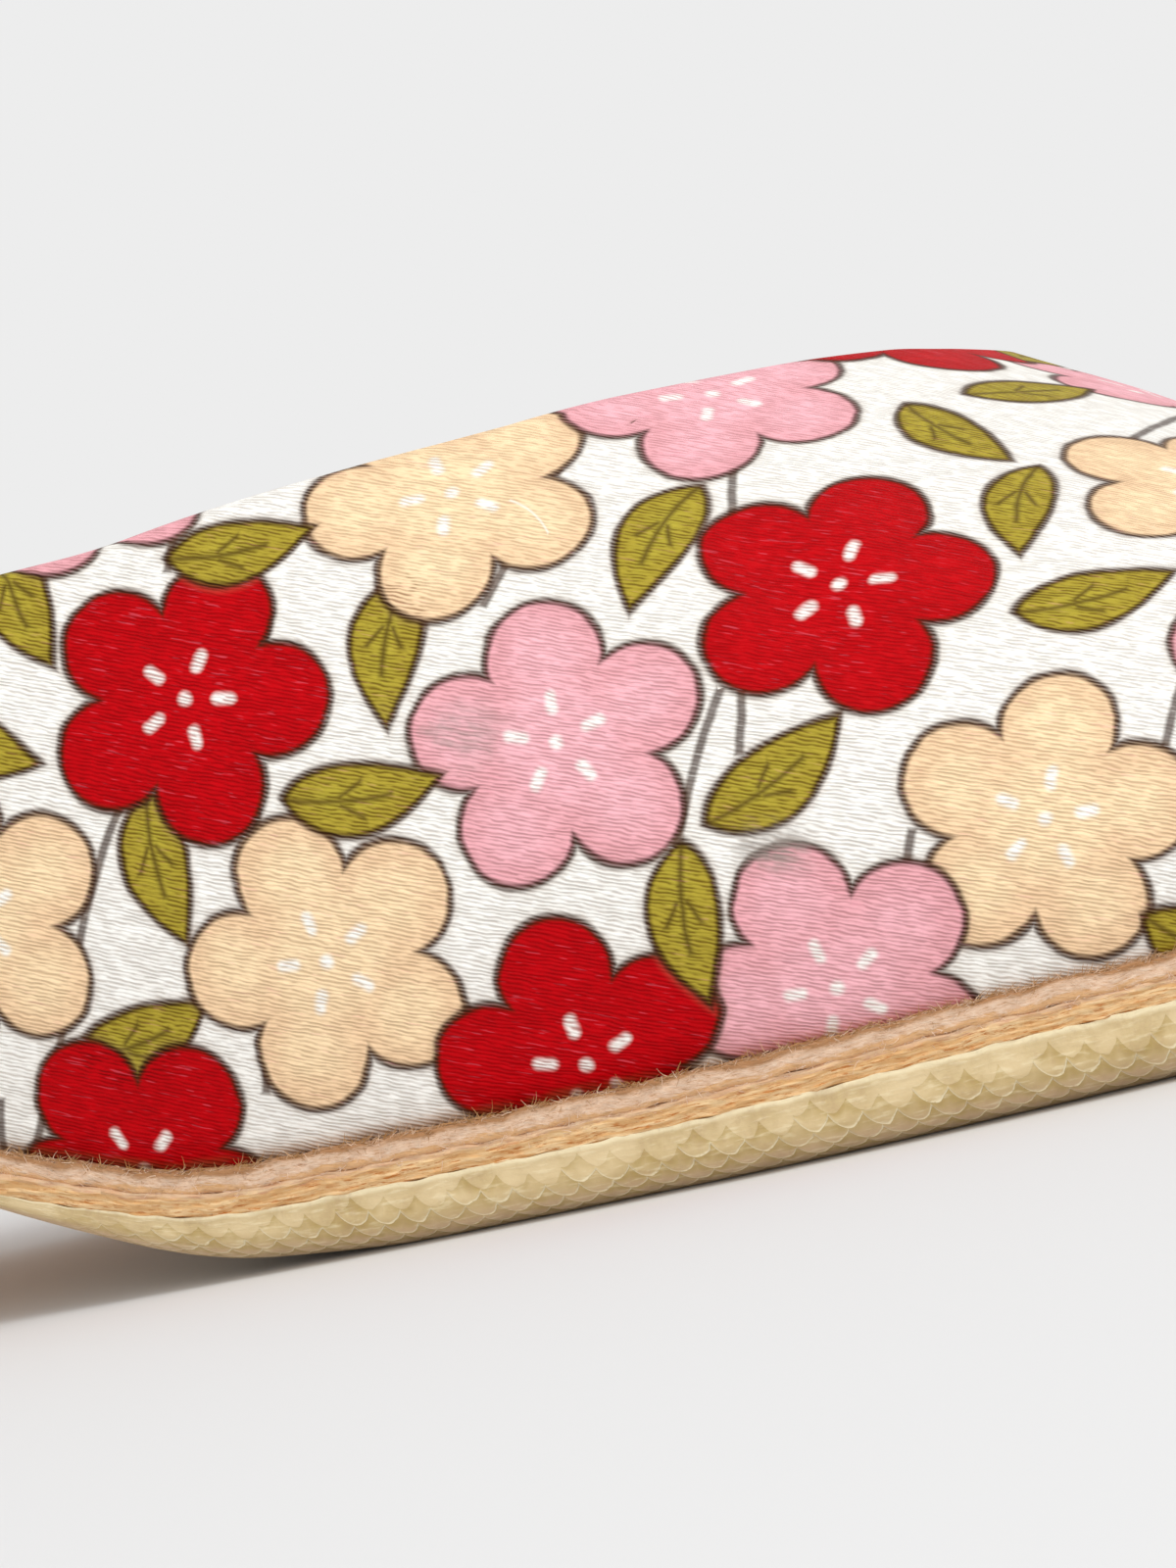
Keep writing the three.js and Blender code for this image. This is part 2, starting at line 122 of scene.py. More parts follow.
@dataclass(frozen=True)
class Ripple:
    """Irregular wave along an edge, from a few sines with seeded phases."""

    depth: float
    wavelengths: tuple[float, ...]
    seed: int
    drift: float = 0.0

    def __call__(self, along: Array, down: Array = 0.0) -> Array:
        """Heights of the wave.

        Args:
            along: Places along the edge.
            down: Places down it, by which the wave drifts.

        Returns:
            A height for each place.
        """
        place = math.tau * (along + down * self.drift)
        phases = np.random.default_rng(self.seed).uniform(0, math.tau, len(self.wavelengths))
        waves = [np.sin(place / wave + phase) for wave, phase in zip(self.wavelengths, phases)]
        return sum(waves) / len(waves) * self.depth


@dataclass(frozen=True)
class LastForm:
    """The form that the shoe is made over; +X to the toe, the origin under the ball."""

    toe_reach: float
    heel_reach: float
    feather_level: float
    ball_width: float = 75.0
    throat_rise: float = 33.0
    crown_lean: float = 0.56
    wall_bulge: float = 2.2
    bulge_place: float = 0.8
    side_roundness: float = 0.8
    top_roundness: float = 0.92
    toe_round: float = 21.0
    nose_round: float = 11.0
    heel_round: float = 25.0
    seat_rise: float = 39.0
    toe_spring: float = 3.5
    spring_start: float = 36.0
    rib_fall: float = math.radians(21.5)
    wall: float = 1.7
    wing_end_share: float = -0.612
    cloth_stations: int = 520
    cloth_turns: int = 80
    cloth_toe_gap: float = 0.05
    throat_samples: int = 20001
    rise_steps: int = 2000
    slopes: SmoothTable = SmoothTable(
        (-1.0, -0.671, -0.5, -0.303, -0.204, -0.178, -0.132),
        (0.27, 0.27, 1.0, 0.96, 0.64, 0.58, 0.0))
    outer: SmoothTable = SmoothTable(
        (-1.0, -0.8, -0.62, -0.45, -0.32, -0.18, -0.06, 0.06, 0.2, 0.38, 0.56, 0.74, 0.9, 1.0),
        (0.335, 0.337, 0.327, 0.328, 0.368, 0.437, 0.487, 0.502, 0.487, 0.432, 0.336, 0.214,
         0.1, 0.035))
    inner: SmoothTable = SmoothTable(
        (-1.0, -0.8, -0.62, -0.45, -0.32, -0.18, -0.06, 0.06, 0.2, 0.38, 0.56, 0.74, 0.9, 1.0),
        (0.335, 0.335, 0.296, 0.24, 0.236, 0.31, 0.42, 0.475, 0.492, 0.472, 0.426, 0.35,
         0.278, 0.235))
    crown: SmoothTable = SmoothTable(
        (-0.66, -0.33, -0.13, 0.0, 0.118, 0.235, 0.287, 0.339, 0.39, 0.53, 0.7, 0.82, 0.92, 1.0),
        (1.66, 1.64, 1.49, 1.3, 1.155, 1.016, 0.942, 0.868, 0.79, 0.635, 0.472, 0.375,
         0.3, 0.25))
    topline: SmoothTable = SmoothTable(
        (-0.612, -0.553, -0.46, -0.362, -0.263, -0.161, -0.095, -0.03, 0.064, 0.15, 0.21,
         0.24, 0.29, 0.36),
        (0.724, 0.636, 0.545, 0.598, 0.764, 0.956, 0.998, 1.018, 1.034, 1.034, 1.026,
         1.012, 0.985, 0.965))

    def share(self, x: Array, grow: Array = 0.0) -> Array:
        """Place along the shoe as a share of the reach on its side of the ball."""
        return x / (np.where(x < 0, self.heel_reach, self.toe_reach) + grow)

    @cached_property
    def rise_curve(self) -> tuple[Array, Array]:
        """Heights of the feather line behind the ball, by share of the heel reach.

        Returns:
            Shares from -1 up to 0, and the height at each.
        """
        at = np.linspace(0, -1, self.rise_steps + 1)
        slope = np.interp(at, self.slopes.places, self.slopes.values)
        steps = 0.5 * (slope[1:] + slope[:-1]) / self.rise_steps
        total = np.concatenate(([0.0], np.cumsum(steps)))
        return at[::-1], total[::-1] * self.seat_rise / total[-1]

    def feather_rise(self, x: Array) -> Array:
        """Height of the feather line over its level at the ball.

        Args:
            x: Places along the shoe.

        Returns:
            Heights in millimetres.
        """
        x = np.asarray(x, float)
        at, rise = self.rise_curve
        back = np.interp(x / self.heel_reach, at, rise)
        back_slope = (rise[0] - rise[1]) / (at[1] - at[0]) / self.heel_reach
        back = back + np.maximum(-self.heel_reach - x, 0) * back_slope
        spring = np.maximum(x - self.spring_start, 0) / (self.toe_reach - self.spring_start)
        return np.where(x < 0, back, self.toe_spring * spring ** 2)

    def feather_z(self, x: Array) -> Array:
        """Height of the feather line over the floor."""
        return self.feather_level + self.feather_rise(x)

    @staticmethod
    def end_share(distance: Array, radius: Array) -> Array:
        """Share of the full breadth at a distance from a rounded end."""
        short = np.maximum(0, 1 - distance / radius)
        return np.sqrt(np.maximum(0, 1 - short * short))

    def crown_over(self, x: Array) -> Array:
        """Height of the crown over the feather line, rounded off at the nose."""
        nose = self.end_share(self.toe_reach - x, self.nose_round)
        return self.crown(self.share(x)) * self.throat_rise * nose

    def topline_over(self, x: Array) -> Array:
        """Height of the topline over the feather line."""
        return self.topline(self.share(x)) * self.throat_rise

    def outline_y(self, x: Array, side: Array, grow: Array = 0.0) -> Array:
        """Outline of the feather line, grown outward by an even margin.

        Args:
            x: Places along the shoe.
            side: Side of the shoe, or its sign at each place.
            grow: Margin outward.

        Returns:
            Places across the shoe.
        """
        at = np.clip(self.share(x, grow), -1, 1)
        reach = np.where(x < 0, self.heel_reach, self.toe_reach) + grow
        outer = self.outer(at) * self.ball_width + grow
        inner = self.inner(at) * self.ball_width + grow
        radius = np.where(x < 0, self.heel_round, self.toe_round) + grow
        half = (inner + outer) / 2 * self.end_share(reach - np.abs(x), radius)
        return (inner - outer) / 2 + side * half

    def rounded_place(self, run: Array, grow: Array = 0.0) -> Array:
        """Place along the shoe of an even run, which follows the rounded toe and heel.

        Args:
            run: Even steps from heel to toe.
            grow: Margin by which the outline is grown.

        Returns:
            Places along the shoe.
        """
        toe = self.toe_reach - self.toe_round
        heel = self.heel_reach - self.heel_round
        toe_turn = np.clip((run - toe) / self.toe_round, 0, 1) * math.pi / 2
        heel_turn = np.clip((-run - heel) / self.heel_round, 0, 1) * math.pi / 2
        front = toe + (self.toe_round + grow) * np.sin(toe_turn)
        back = -heel - (self.heel_round + grow) * np.sin(heel_turn)
        return np.where(run > toe, front, np.where(run < -heel, back, run))

    def point(self, x: Array, turn: Array) -> Array:
        """Points of the surface; turn runs from -1 at the outer feather to 1 at the inner.

        Args:
            x: Places along the shoe.
            turn: Places round the last.

        Returns:
            Points, along a new last axis.
        """
        angle = (1 - np.abs(turn)) * math.pi / 2
        high = np.sin(angle) ** self.top_roundness
        wide = np.maximum(0, np.cos(angle)) ** self.side_roundness
        outer = self.outline_y(x, Side.OUTER)
        inner = self.outline_y(x, Side.INNER)
        ridge = outer + self.crown_lean * (inner - outer)
        edge = np.where(turn < 0, outer, inner)
        fullness = np.minimum(1, np.abs(inner - outer) / (self.ball_width / 2))
        bulge = self.wall_bulge * fullness * np.sin(math.pi * high ** self.bulge_place)
        y = ridge + (edge - ridge) * wide + np.where(turn < 0, -1, 1) * bulge
        z = self.feather_z(x) + self.crown_over(x) * high
        return np.stack(np.broadcast_arrays(x, y, z), -1)

    def normal(self, x: Array, turn: Array) -> Array:
        """Directions out of the surface, level along the feather line.

        Args:
            x: Places along the shoe.
            turn: Places round the last, from -1 to 1.

        Returns:
            Directions of length one, along a new last axis.
        """
        reach, nudge = 0.004, 0.002
        along = self.point(np.minimum(x + reach, self.toe_reach), turn)
        along = along - self.point(x - reach, turn)
        around = self.point(x, np.minimum(turn + nudge, 1))
        around = around - self.point(x, np.maximum(turn - nudge, -1))
        feather = (np.abs(turn) == 1)[..., None]
        along = np.where(feather, along * (1, 1, 0), along)
        around = np.where(feather, turn[..., None] * (0, 0, -1.0), around)
        return unit(np.cross(along, around))

    @cached_property
    def cloth_lookup(self) -> tuple[Array, Array, Array, Array]:
        """Cloth lengths over the last: along each level, and down from the ridge.

        Returns:
            Places, turns, and the two lengths at each place and turn.
        """
        front = self.toe_reach - self.cloth_toe_gap
        runs = np.linspace(-self.heel_reach + self.heel_round, front, self.cloth_stations)
        x = self.rounded_place(runs)
        turns = np.linspace(-1, 1, 2 * self.cloth_turns + 1)
        grid = self.point(x[:, None], turns[None, :])
        plan = np.linalg.norm(np.diff(grid[..., :2], axis=0), axis=-1)
        along = np.concatenate((np.zeros((1, len(turns))), np.cumsum(plan, 0)))
        along = along - along[np.searchsorted(x, 0.0)]
        girth = np.linalg.norm(np.diff(grid[..., 1:], axis=1), axis=-1)
        down = np.concatenate((np.zeros((len(x), 1)), np.cumsum(girth, 1)), 1)
        return x, turns, along, down[:, [self.cloth_turns]] - down

    @cached_property
    def throat(self) -> float:
        """Place where the topline, less its bead, meets the crown.

        Returns:
            The place, in front of the ball.
        """
        places = np.linspace(0, self.topline.places[-1] * self.toe_reach, self.throat_samples)
        gap = self.crown_over(places) - self.topline_over(places) + self.wall / 2
        return float(places[np.argmax(gap <= 0)])

    def cloth(self, x: Array, turn: Array) -> Array:
        """Cloth places in millimetres: along the ribs, across them, and up from the feather.

        The cloth is unrolled from the outer feather over the ridge; the inner wing, which the
        opening cuts off from the outer one, is unrolled from its own feather.

        Args:
            x: Places along the shoe.
            turn: Places round the last, from the outer feather at -1 to the inner at 1.

        Returns:
            The three lengths, along a new last axis.
        """
        places, turns, along, down = self.cloth_lookup
        i = np.clip(np.searchsorted(places, x) - 1, 0, len(places) - 2)
        j = np.clip(((turn + 1) * self.cloth_turns).astype(int), 0, len(turns) - 2)
        u = np.clip((x - places[i]) / (places[i + 1] - places[i]), 0, 1)
        v = (turn - turns[j]) * self.cloth_turns

        def read(table: Array) -> Array:
            """Table value between its four nearest entries.

            Args:
                table: Lengths at each place and turn.

            Returns:
                A length for each point.
            """
            low = table[i, j] * (1 - u) + table[i + 1, j] * u
            high = table[i, j + 1] * (1 - u) + table[i + 1, j + 1] * u
            return low * (1 - v) + high * v

        run, over = read(along), read(down)
        outer = np.interp(x, places, down[:, 0])
        inner = -np.interp(x, places, down[:, -1])
        level = self.feather_z(x)
        height = level + outer - over
        whole = np.interp(self.throat, places, down[:, 0] - down[:, -1])
        wing = whole + 2 * self.feather_z(self.throat) - level - (over + inner)
        height = np.where((turn > 0) & (x < self.throat), wing, height)
        cos, sin = math.cos(self.rib_fall), math.sin(self.rib_fall)
        hem = np.where(turn < 0, outer - over, inner + over)
        return np.stack((run * cos - height * sin, -run * sin - height * cos, hem), -1)


def last_from_frame() -> LastForm:
    """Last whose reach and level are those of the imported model."""
    return LastForm(
        toe_reach=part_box("upper")[1].x / MM,
        heel_reach=-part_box("midsole")[0].x / MM,
        feather_level=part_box("insole")[0].z / MM)


# Meshes


def placed_grid(columns: int, rows: int, place: Placer) -> Sheet:
    """Grid of faces whose vertices a function places.

    Args:
        columns: Faces along the first index.
        rows: Faces along the second index.
        place: Gives points and cloth places, both in millimetres, for two index arrays.

    Returns:
        The grid, with its cloth places in a vertex layer.
    """
    sheet = bmesh.new()
    cloth_layer = sheet.verts.layers.float_vector.new("cloth")
    bmesh.ops.create_grid(sheet, x_segments=columns, y_segments=rows, size=1.0)
    rank = np.arange((columns + 1) * (rows + 1))
    points, cloth = place(rank % (columns + 1), rank // (columns + 1))
    for vert, point, length in zip(sheet.verts, (points * MM).tolist(), cloth.tolist()):
        vert.co = point
        vert[cloth_layer] = length
    return sheet


def joined(*sheets: Sheet) -> Sheet:
    """One bmesh of several, which are freed.

    Args:
        sheets: The sheets; the first takes in the others.

    Returns:
        The first sheet.
    """
    whole = sheets[0]
    for sheet in sheets[1:]:
        scratch = bpy.data.meshes.new("scratch")
        sheet.to_mesh(scratch)
        sheet.free()
        whole.from_mesh(scratch)
        bpy.data.meshes.remove(scratch)
    return whole


def finished(name: str, sheet: Sheet, merge: float = 2e-4,
             sharp: float = 50.0) -> bpy.types.Object:
    """Object of a sheet whose seams, poles and open ends are closed.

    Args:
        name: Name of the piece.
        sheet: Its faces, freed afterwards.
        merge: Distance in millimetres at which vertices are one.
        sharp: Angle in degrees past which an edge is shaded sharp.

    Returns:
        The object, at the origin.
    """
    bmesh.ops.remove_doubles(sheet, verts=sheet.verts, dist=merge * MM)
    open_edges = [edge for edge in sheet.edges if edge.is_boundary]
    if open_edges:
        bmesh.ops.holes_fill(sheet, edges=open_edges, sides=0)
    bmesh.ops.recalc_face_normals(sheet, faces=sheet.faces)
    mesh = bpy.data.meshes.new(name)
    sheet.to_mesh(mesh)
    sheet.free()
    mesh.polygons.foreach_set("use_smooth", np.ones(len(mesh.polygons), bool))
    mesh.set_sharp_from_angle(angle=math.radians(sharp))
    piece = bpy.data.objects.new(name, mesh)
    bpy.context.scene.collection.objects.link(piece)
    return piece


def settle(piece: bpy.types.Object, material: Material, slot: str,
           *nodes: str) -> None:
    """Dresses a piece and ties it to the frame.

    Args:
        piece: The piece.
        material: Its finish.
        slot: Not used.
        nodes: Nodes of the frame that it stands for.
    """
    piece.data.materials.append(material)
    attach(piece, BODY)
    if nodes:
        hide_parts(*nodes)
    faces = len(piece.data.polygons)
    log.info("%s: %d faces, stands for %s", piece.name, faces, ", ".join(nodes) or "nothing")


def cloth_of(mesh: bpy.types.Mesh) -> Array:
    """Cloth places of a mesh's vertices.

    Args:
        mesh: Mesh with a cloth layer.

    Returns:
        A row for each vertex.
    """
    values = np.empty(len(mesh.vertices) * 3, np.float32)
    mesh.attributes["cloth"].data.foreach_get("vector", values)
    return values.reshape(-1, 3)


# Shader maths


@dataclass(frozen=True)
class Signal:
    """A socket's value in a shader, with arithmetic that adds Math nodes."""

    shader: "Shader"
    socket: bpy.types.NodeSocket

    def math(self, operation: str, *others: Any) -> "Signal":
        """Result of a Math node that takes this value first."""
        return self.shader.math(operation, self, *others)

    def __add__(self, other: Any) -> "Signal":
        """Sum."""
        return self.math("ADD", other)

    __radd__ = __add__

    def __sub__(self, other: Any) -> "Signal":
        """Difference."""
        return self.math("SUBTRACT", other)

    def __rsub__(self, other: Any) -> "Signal":
        """Difference from a number."""
        return self.shader.math("SUBTRACT", other, self)

    def __mul__(self, other: Any) -> "Signal":
        """Product."""
        return self.math("MULTIPLY", other)

    __rmul__ = __mul__

    def __truediv__(self, other: Any) -> "Signal":
        """Quotient."""
        return self.math("DIVIDE", other)

    def __abs__(self) -> "Signal":
        """Size without sign."""
        return self.math("ABSOLUTE")

    def least(self, other: Any) -> "Signal":
        """The smaller of two."""
        return self.math("MINIMUM", other)

    def most(self, other: Any) -> "Signal":
        """The larger of two."""
        return self.math("MAXIMUM", other)

    def wave(self) -> "Signal":
        """Sine of the value in turns."""
        return (self * math.tau).math("SINE")

    def rise(self, low: float, high: float) -> "Signal":
        """Smooth rise from 0 at low to 1 at high."""
        node = self.shader.node(
            "ShaderNodeMapRange", {"interpolation_type": "SMOOTHSTEP"},
            {"Value": self, "From Min": low, "From Max": high})
        return self.shader.out(node, "Result")

    def inside(self, softness: float) -> "Signal":
        """Share covered where a signed distance is below zero."""
        return self.rise(softness, -softness)


def length_of(across: Signal, along: Signal) -> Signal:
    """Distance from the origin of two components."""
    return (across * across + along * along).math("SQRT")


class Shader:
    """Node tree of one material, with one method that makes any node."""

    def __init__(self, name: str) -> None:
        """Starts an empty material.

        Args:
            name: Name of the material.
        """
        self.material = bpy.data.materials.new(name)
        self.material.use_nodes = True
        self.tree = self.material.node_tree
        self.tree.nodes.clear()

    def node(self, kind: str, settings: dict[str, Any] | None = None,
             sockets: dict[Any, Any] | None = None) -> bpy.types.Node:
        """Makes a node.

        Args:
            kind: Node type.
            settings: Properties, set first.
            sockets: Values or links of its sockets, by name or number.

        Returns:
            The node.
        """
        made = self.tree.nodes.new(kind)
        for key, value in (settings or {}).items():
            setattr(made, key, value)
        for key, value in (sockets or {}).items():
            if isinstance(value, Signal):
                self.tree.links.new(value.socket, made.inputs[key])
            else:
                made.inputs[key].default_value = value
        return made

    def out(self, node: bpy.types.Node, name: str | int = 0) -> Signal:
        """Output of a node."""
        return Signal(self, node.outputs[name])

    def math(self, operation: str, *values: Any) -> Signal:
        """Result of a Math node."""
        return self.out(self.node(
            "ShaderNodeMath", {"operation": operation}, dict(enumerate(values))))

    def mix(self, share: Any, first: Any, second: Any, blend: str = "MIX") -> Signal:
        """Colour between two colours."""
        return self.out(self.node(
            "ShaderNodeMix", {"data_type": "RGBA", "blend_type": blend},
            {0: share, 6: first, 7: second}), 2)

    def blend(self, share: Any, first: Any, second: Any) -> Signal:
        """Number between two numbers."""
        return self.out(self.node("ShaderNodeMix", {}, {0: share, 2: first, 3: second}), 0)

    def attribute(self, name: str) -> Signal:
        """Vector attribute of the mesh."""
        return self.out(self.node("ShaderNodeAttribute", {"attribute_name": name}), "Vector")

    def parts(self, vector: Signal) -> tuple[Signal, Signal, Signal]:
        """Components of a vector."""
        node = self.node("ShaderNodeSeparateXYZ", {}, {0: vector})
        return self.out(node, 0), self.out(node, 1), self.out(node, 2)

    def vector(self, x: Any, y: Any, z: Any = 0.0) -> Signal:
        """Vector of three components."""
        return self.out(self.node("ShaderNodeCombineXYZ", {}, {0: x, 1: y, 2: z}))

    def place(self) -> Signal:
        """Object coordinates in millimetres."""
        coordinates = self.out(self.node("ShaderNodeTexCoord"), "Object")
        return self.out(self.node(
            "ShaderNodeVectorMath", {"operation": "SCALE"}, {0: coordinates, "Scale": 1 / MM}))

    def noise(self, place: Signal, scale: float | Point, detail: float = 2.0,
              roughness: float = 0.5) -> Signal:
        """Cloudy noise between 0 and 1.

        Args:
            place: Where it is read.
            scale: Cycles a millimetre, one number or one for each axis.
            detail: Octaves over the first.
            roughness: Strength of each octave against the last.

        Returns:
            The noise.
        """
        if isinstance(scale, tuple):
            place = self.out(self.node(
                "ShaderNodeVectorMath", {"operation": "MULTIPLY"}, {0: place, 1: scale}))
            scale = 1.0
        return self.out(self.node(
            "ShaderNodeTexNoise", {},
            {"Vector": place, "Scale": scale, "Detail": detail, "Roughness": roughness}), 0)

    def finish(self, colour: Any, roughness: Any, height: Signal | None, relief: float,
               **constants: float) -> Material:
        """Ends the material in one shader.

        Args:
            colour: Base colour.
            roughness: Roughness.
            height: Height of the fine relief in millimetres, or None.
            relief: Strength of the relief.
            constants: Values of other sockets, the same all over.

        Returns:
            The material.
        """
        sockets = {"Base Color": colour, "Roughness": roughness}
        sockets |= {key.replace("_", " "): value for key, value in constants.items()}
        if height is not None:
            bump = self.node("ShaderNodeBump", {},
                             {"Height": height, "Strength": relief, "Distance": MM})
            sockets["Normal"] = self.out(bump)
        surface = self.node("ShaderNodeBsdfPrincipled", {}, sockets)
        self.node("ShaderNodeOutputMaterial", {}, {"Surface": self.out(surface)})
        return self.material


def ink(*screen: int) -> Colour:
    """Linear colour of screen values from 0 to 255.

    Args:
        screen: Red, green and blue.

    Returns:
        The colour, opaque.
    """
    shares = np.array(screen) / 255
    linear = np.where(shares <= 0.04045, shares / 12.92, ((shares + 0.055) / 1.055) ** 2.4)
    return (*linear.tolist(), 1.0)


# Printed satin


class Layer(Enum):
    """Layers of the print, from the back to the front."""

    STEM = "stem"
    LEAF = "leaf"
    PEACH = "peach"
    PINK = "pink"
    RED = "red"
    SPRIG = "sprig"


@dataclass(frozen=True)
class Motif:
    """One drawn shape: its middle on the cloth, half its length, and its turn in degrees."""

    along: float
    down: float
    half: float
    turn: float
    spine: float = 0.0


@dataclass(frozen=True)
class FloralChart:
    """Drawn chart of the print: one repeat of blossoms, leaves and stems."""

    repeat: tuple[float, float] = (66.0, 54.0)
    spread: float = 0.97
    start: tuple[float, float] = (9.0, -1.0)
    peach: tuple[Motif, ...] = (
        Motif(9, 8, 7.6, 40), Motif(39, 20, 7.6, 12), Motif(7, 33, 7.5, 52),
        Motif(18, 47.5, 7.6, 30), Motif(38, 46, 7.6, 20))
    pink: tuple[Motif, ...] = (
        Motif(49, 9, 7.5, 5), Motif(19, 21, 7.6, 25), Motif(48, 33, 7.6, 33),
        Motif(64, 43, 7.6, 18))
    red: tuple[Motif, ...] = (
        Motif(29, 5, 7.6, 10), Motif(60, 22, 7.7, 55), Motif(28, 34, 7.7, 62),
        Motif(52, 49, 7.6, 28))
    leaf: tuple[Motif, ...] = (
        Motif(19, 12, 4.1, 70, 2), Motif(39.5, 9.5, 4.0, -58, 2), Motif(50, 21, 4.2, 98, 2),
        Motif(61.5, 9, 4.0, 30, 2), Motif(7, 20.5, 4.1, -32, 2), Motif(17.5, 30.5, 4.0, 55, 2),
        Motif(38, 29.5, 4.1, 84, 2), Motif(59.5, 33, 4.2, -50, 2), Motif(28, 43, 4.0, 65, 2),
        Motif(28.5, 52, 4.0, -32, 2), Motif(7.5, 50.5, 4.2, 44, 2))
    sprig: tuple[Motif, ...] = (
        Motif(29.5, 15.5, 4.1, 18, 2), Motif(29, 25.5, 3.9, -24, 2), Motif(16.5, 38.5, 4.0, 12, 2),
        Motif(38.5, 37.5, 4.1, -18, 2), Motif(56, 41, 4.0, 72, 2), Motif(62.5, 54, 4.1, -66, 2),
        Motif(67, 14.5, 3.8, 78, 2))
    stem: tuple[Motif, ...] = (
        Motif(23, 15, 12, 80, 12), Motif(44, 15, 11, 99, 11), Motif(54, 20, 12, 76, 12),
        Motif(12.5, 25, 12, 98, 12), Motif(33.5, 41, 12, 82, 12), Motif(55, 38, 12, 97, 12),
        Motif(2, 47, 12, 84, 12), Motif(24, 50, 10, 101, 10))

    def lay(self, mesh: bpy.types.Mesh) -> None:
        """Stores at each face corner its place within the nearest motif of each layer.

        Args:
            mesh: Mesh with a cloth layer, which gets an attribute for each layer of the print.
        """
        cloth = cloth_of(mesh)[:, :2]
        corner_vert = np.empty(len(mesh.loops), np.int32)
        mesh.loops.foreach_get("vertex_index", corner_vert)
        starts = np.empty(len(mesh.polygons), np.int32)
        counts = np.empty(len(mesh.polygons), np.int32)
        mesh.polygons.foreach_get("loop_start", starts)
        mesh.polygons.foreach_get("loop_total", counts)
        corners = cloth[corner_vert]
        middles = np.add.reduceat(corners, starts) / counts[:, None]
        face_of_corner = np.repeat(np.arange(len(starts)), counts)
        for layer in Layer:
            local = self.nearest(getattr(self, layer.value), corners, middles, face_of_corner)
            stored = mesh.attributes.new(layer.value, "FLOAT_VECTOR", "CORNER")
            stored.data.foreach_set("vector", local.astype(np.float32).ravel())

    def nearest(self, motifs: tuple[Motif, ...], corners: Array, middles: Array,
                face_of_corner: Array) -> Array:
        """Places of face corners within the motif that lies nearest to each face.

        Args:
            motifs: The layer's motifs.
            corners: Cloth places of the face corners.
            middles: Cloth places of the faces.
            face_of_corner: Face number of each corner.

        Returns:
            Place along and across the motif, and half its length, by corner.
        """
        repeat = np.array(self.repeat) * self.spread
        centres = np.array([(m.along, m.down) for m in motifs]) * self.spread + self.start
        angles = np.radians([m.turn for m in motifs])
        axes = np.stack((np.cos(angles), np.sin(angles)), -1)
        spines = np.array([m.spine for m in motifs])
        offset = middles[:, None, :] - centres
        shift = np.round(offset / repeat) * repeat
        offset = offset - shift
        along = (offset * axes).sum(-1)
        across = offset[..., 1] * axes[:, 0] - offset[..., 0] * axes[:, 1]
        reach = np.hypot(np.maximum(np.abs(along) - spines, 0), across)
        best = reach.argmin(1)
        rows = np.arange(len(best))
        origin = (centres[best] + shift[rows, best])[face_of_corner]
        axis = axes[best][face_of_corner]
        local = corners - origin
        half = np.array([m.half for m in motifs])[best][face_of_corner]
        return np.stack(((local * axis).sum(-1),
                         local[:, 1] * axis[:, 0] - local[:, 0] * axis[:, 1], half), -1)


@dataclass(frozen=True)
class Blossom:
    """Five-petalled blossom; lengths are shares of its half size, but for the blend."""

    petal_place: float = 0.61
    petal_radius: float = 0.388
    heart_radius: float = 0.58
    blend: float = 0.9
    fleck_place: float = 0.27
    fleck_half: float = 0.045
    fleck_width: float = 0.036
    eye_radius: float = 0.045
    drift_across: float = 0.8

    def distances(self, shader: Shader, layer: Layer, drift: Signal) -> tuple[Signal, Signal]:
        """Signed distance to the blossom and to the pale flecks at its heart.

        Args:
            shader: Shader of the satin.
            layer: Layer of the print.
            drift: How far the ink has run.

        Returns:
            The two distances in millimetres.
        """
        along, across, size = shader.parts(shader.attribute(layer.value))
        along = along + drift
        across = across - drift * self.drift_across
        reach = length_of(along, across)
        angle = across.math("ARCTAN2", along)
        sector = math.pi / 5
        fold = abs(angle.math("WRAP", sector, -sector))
        out = reach * fold.math("COSINE")
        aside = reach * fold.math("SINE")
        petal = length_of(out - size * self.petal_place, aside) - size * self.petal_radius
        shape = petal.math("SMOOTH_MIN", reach - size * self.heart_radius, self.blend)
        fleck = (abs(out - size * self.fleck_place) - size * self.fleck_half).most(0.0)
        stroke = length_of(fleck, aside)
        flecks = (stroke - size * self.fleck_width).least(reach - size * self.eye_radius)
        return shape, flecks


@dataclass(frozen=True)
class Leaf:
    """Bent, pointed leaf with a vein and two spurs; half lengths in millimetres."""

    bend: float = 0.035
    breadth: float = 0.44
    narrowing: float = 0.03
    vein_end: float = 0.35
    vein_half: float = 0.12
    spur_place: float = 0.55
    spur_reach: float = 0.5
    spur_slope: float = 0.6
    spur_start: float = 0.9

    def distances(self, shader: Shader, layer: Layer, drift: Signal) -> tuple[Signal, Signal]:
        """Signed distance to the leaf and to its vein.

        Args:
            shader: Shader of the satin.
            layer: Layer of the print.
            drift: How far the ink has run.

        Returns:
            The two distances in millimetres.
        """
        along, across, half = shader.parts(shader.attribute(layer.value))
        bent = across + along * along * self.bend + drift
        breadth = self.breadth - along * self.narrowing
        radius = half * ((breadth * breadth + 1.0) / (breadth * 2.0))
        centre = radius - half * breadth
        shape = length_of(along, abs(bent) + centre) - radius
        spur = abs(abs(bent) - (along * self.spur_slope + self.spur_start))
        spur = spur.most(abs(along + self.spur_place) - self.spur_reach)
        spine = abs(bent).most(along - half * self.vein_end)
        return shape, spine.least(spur) - self.vein_half


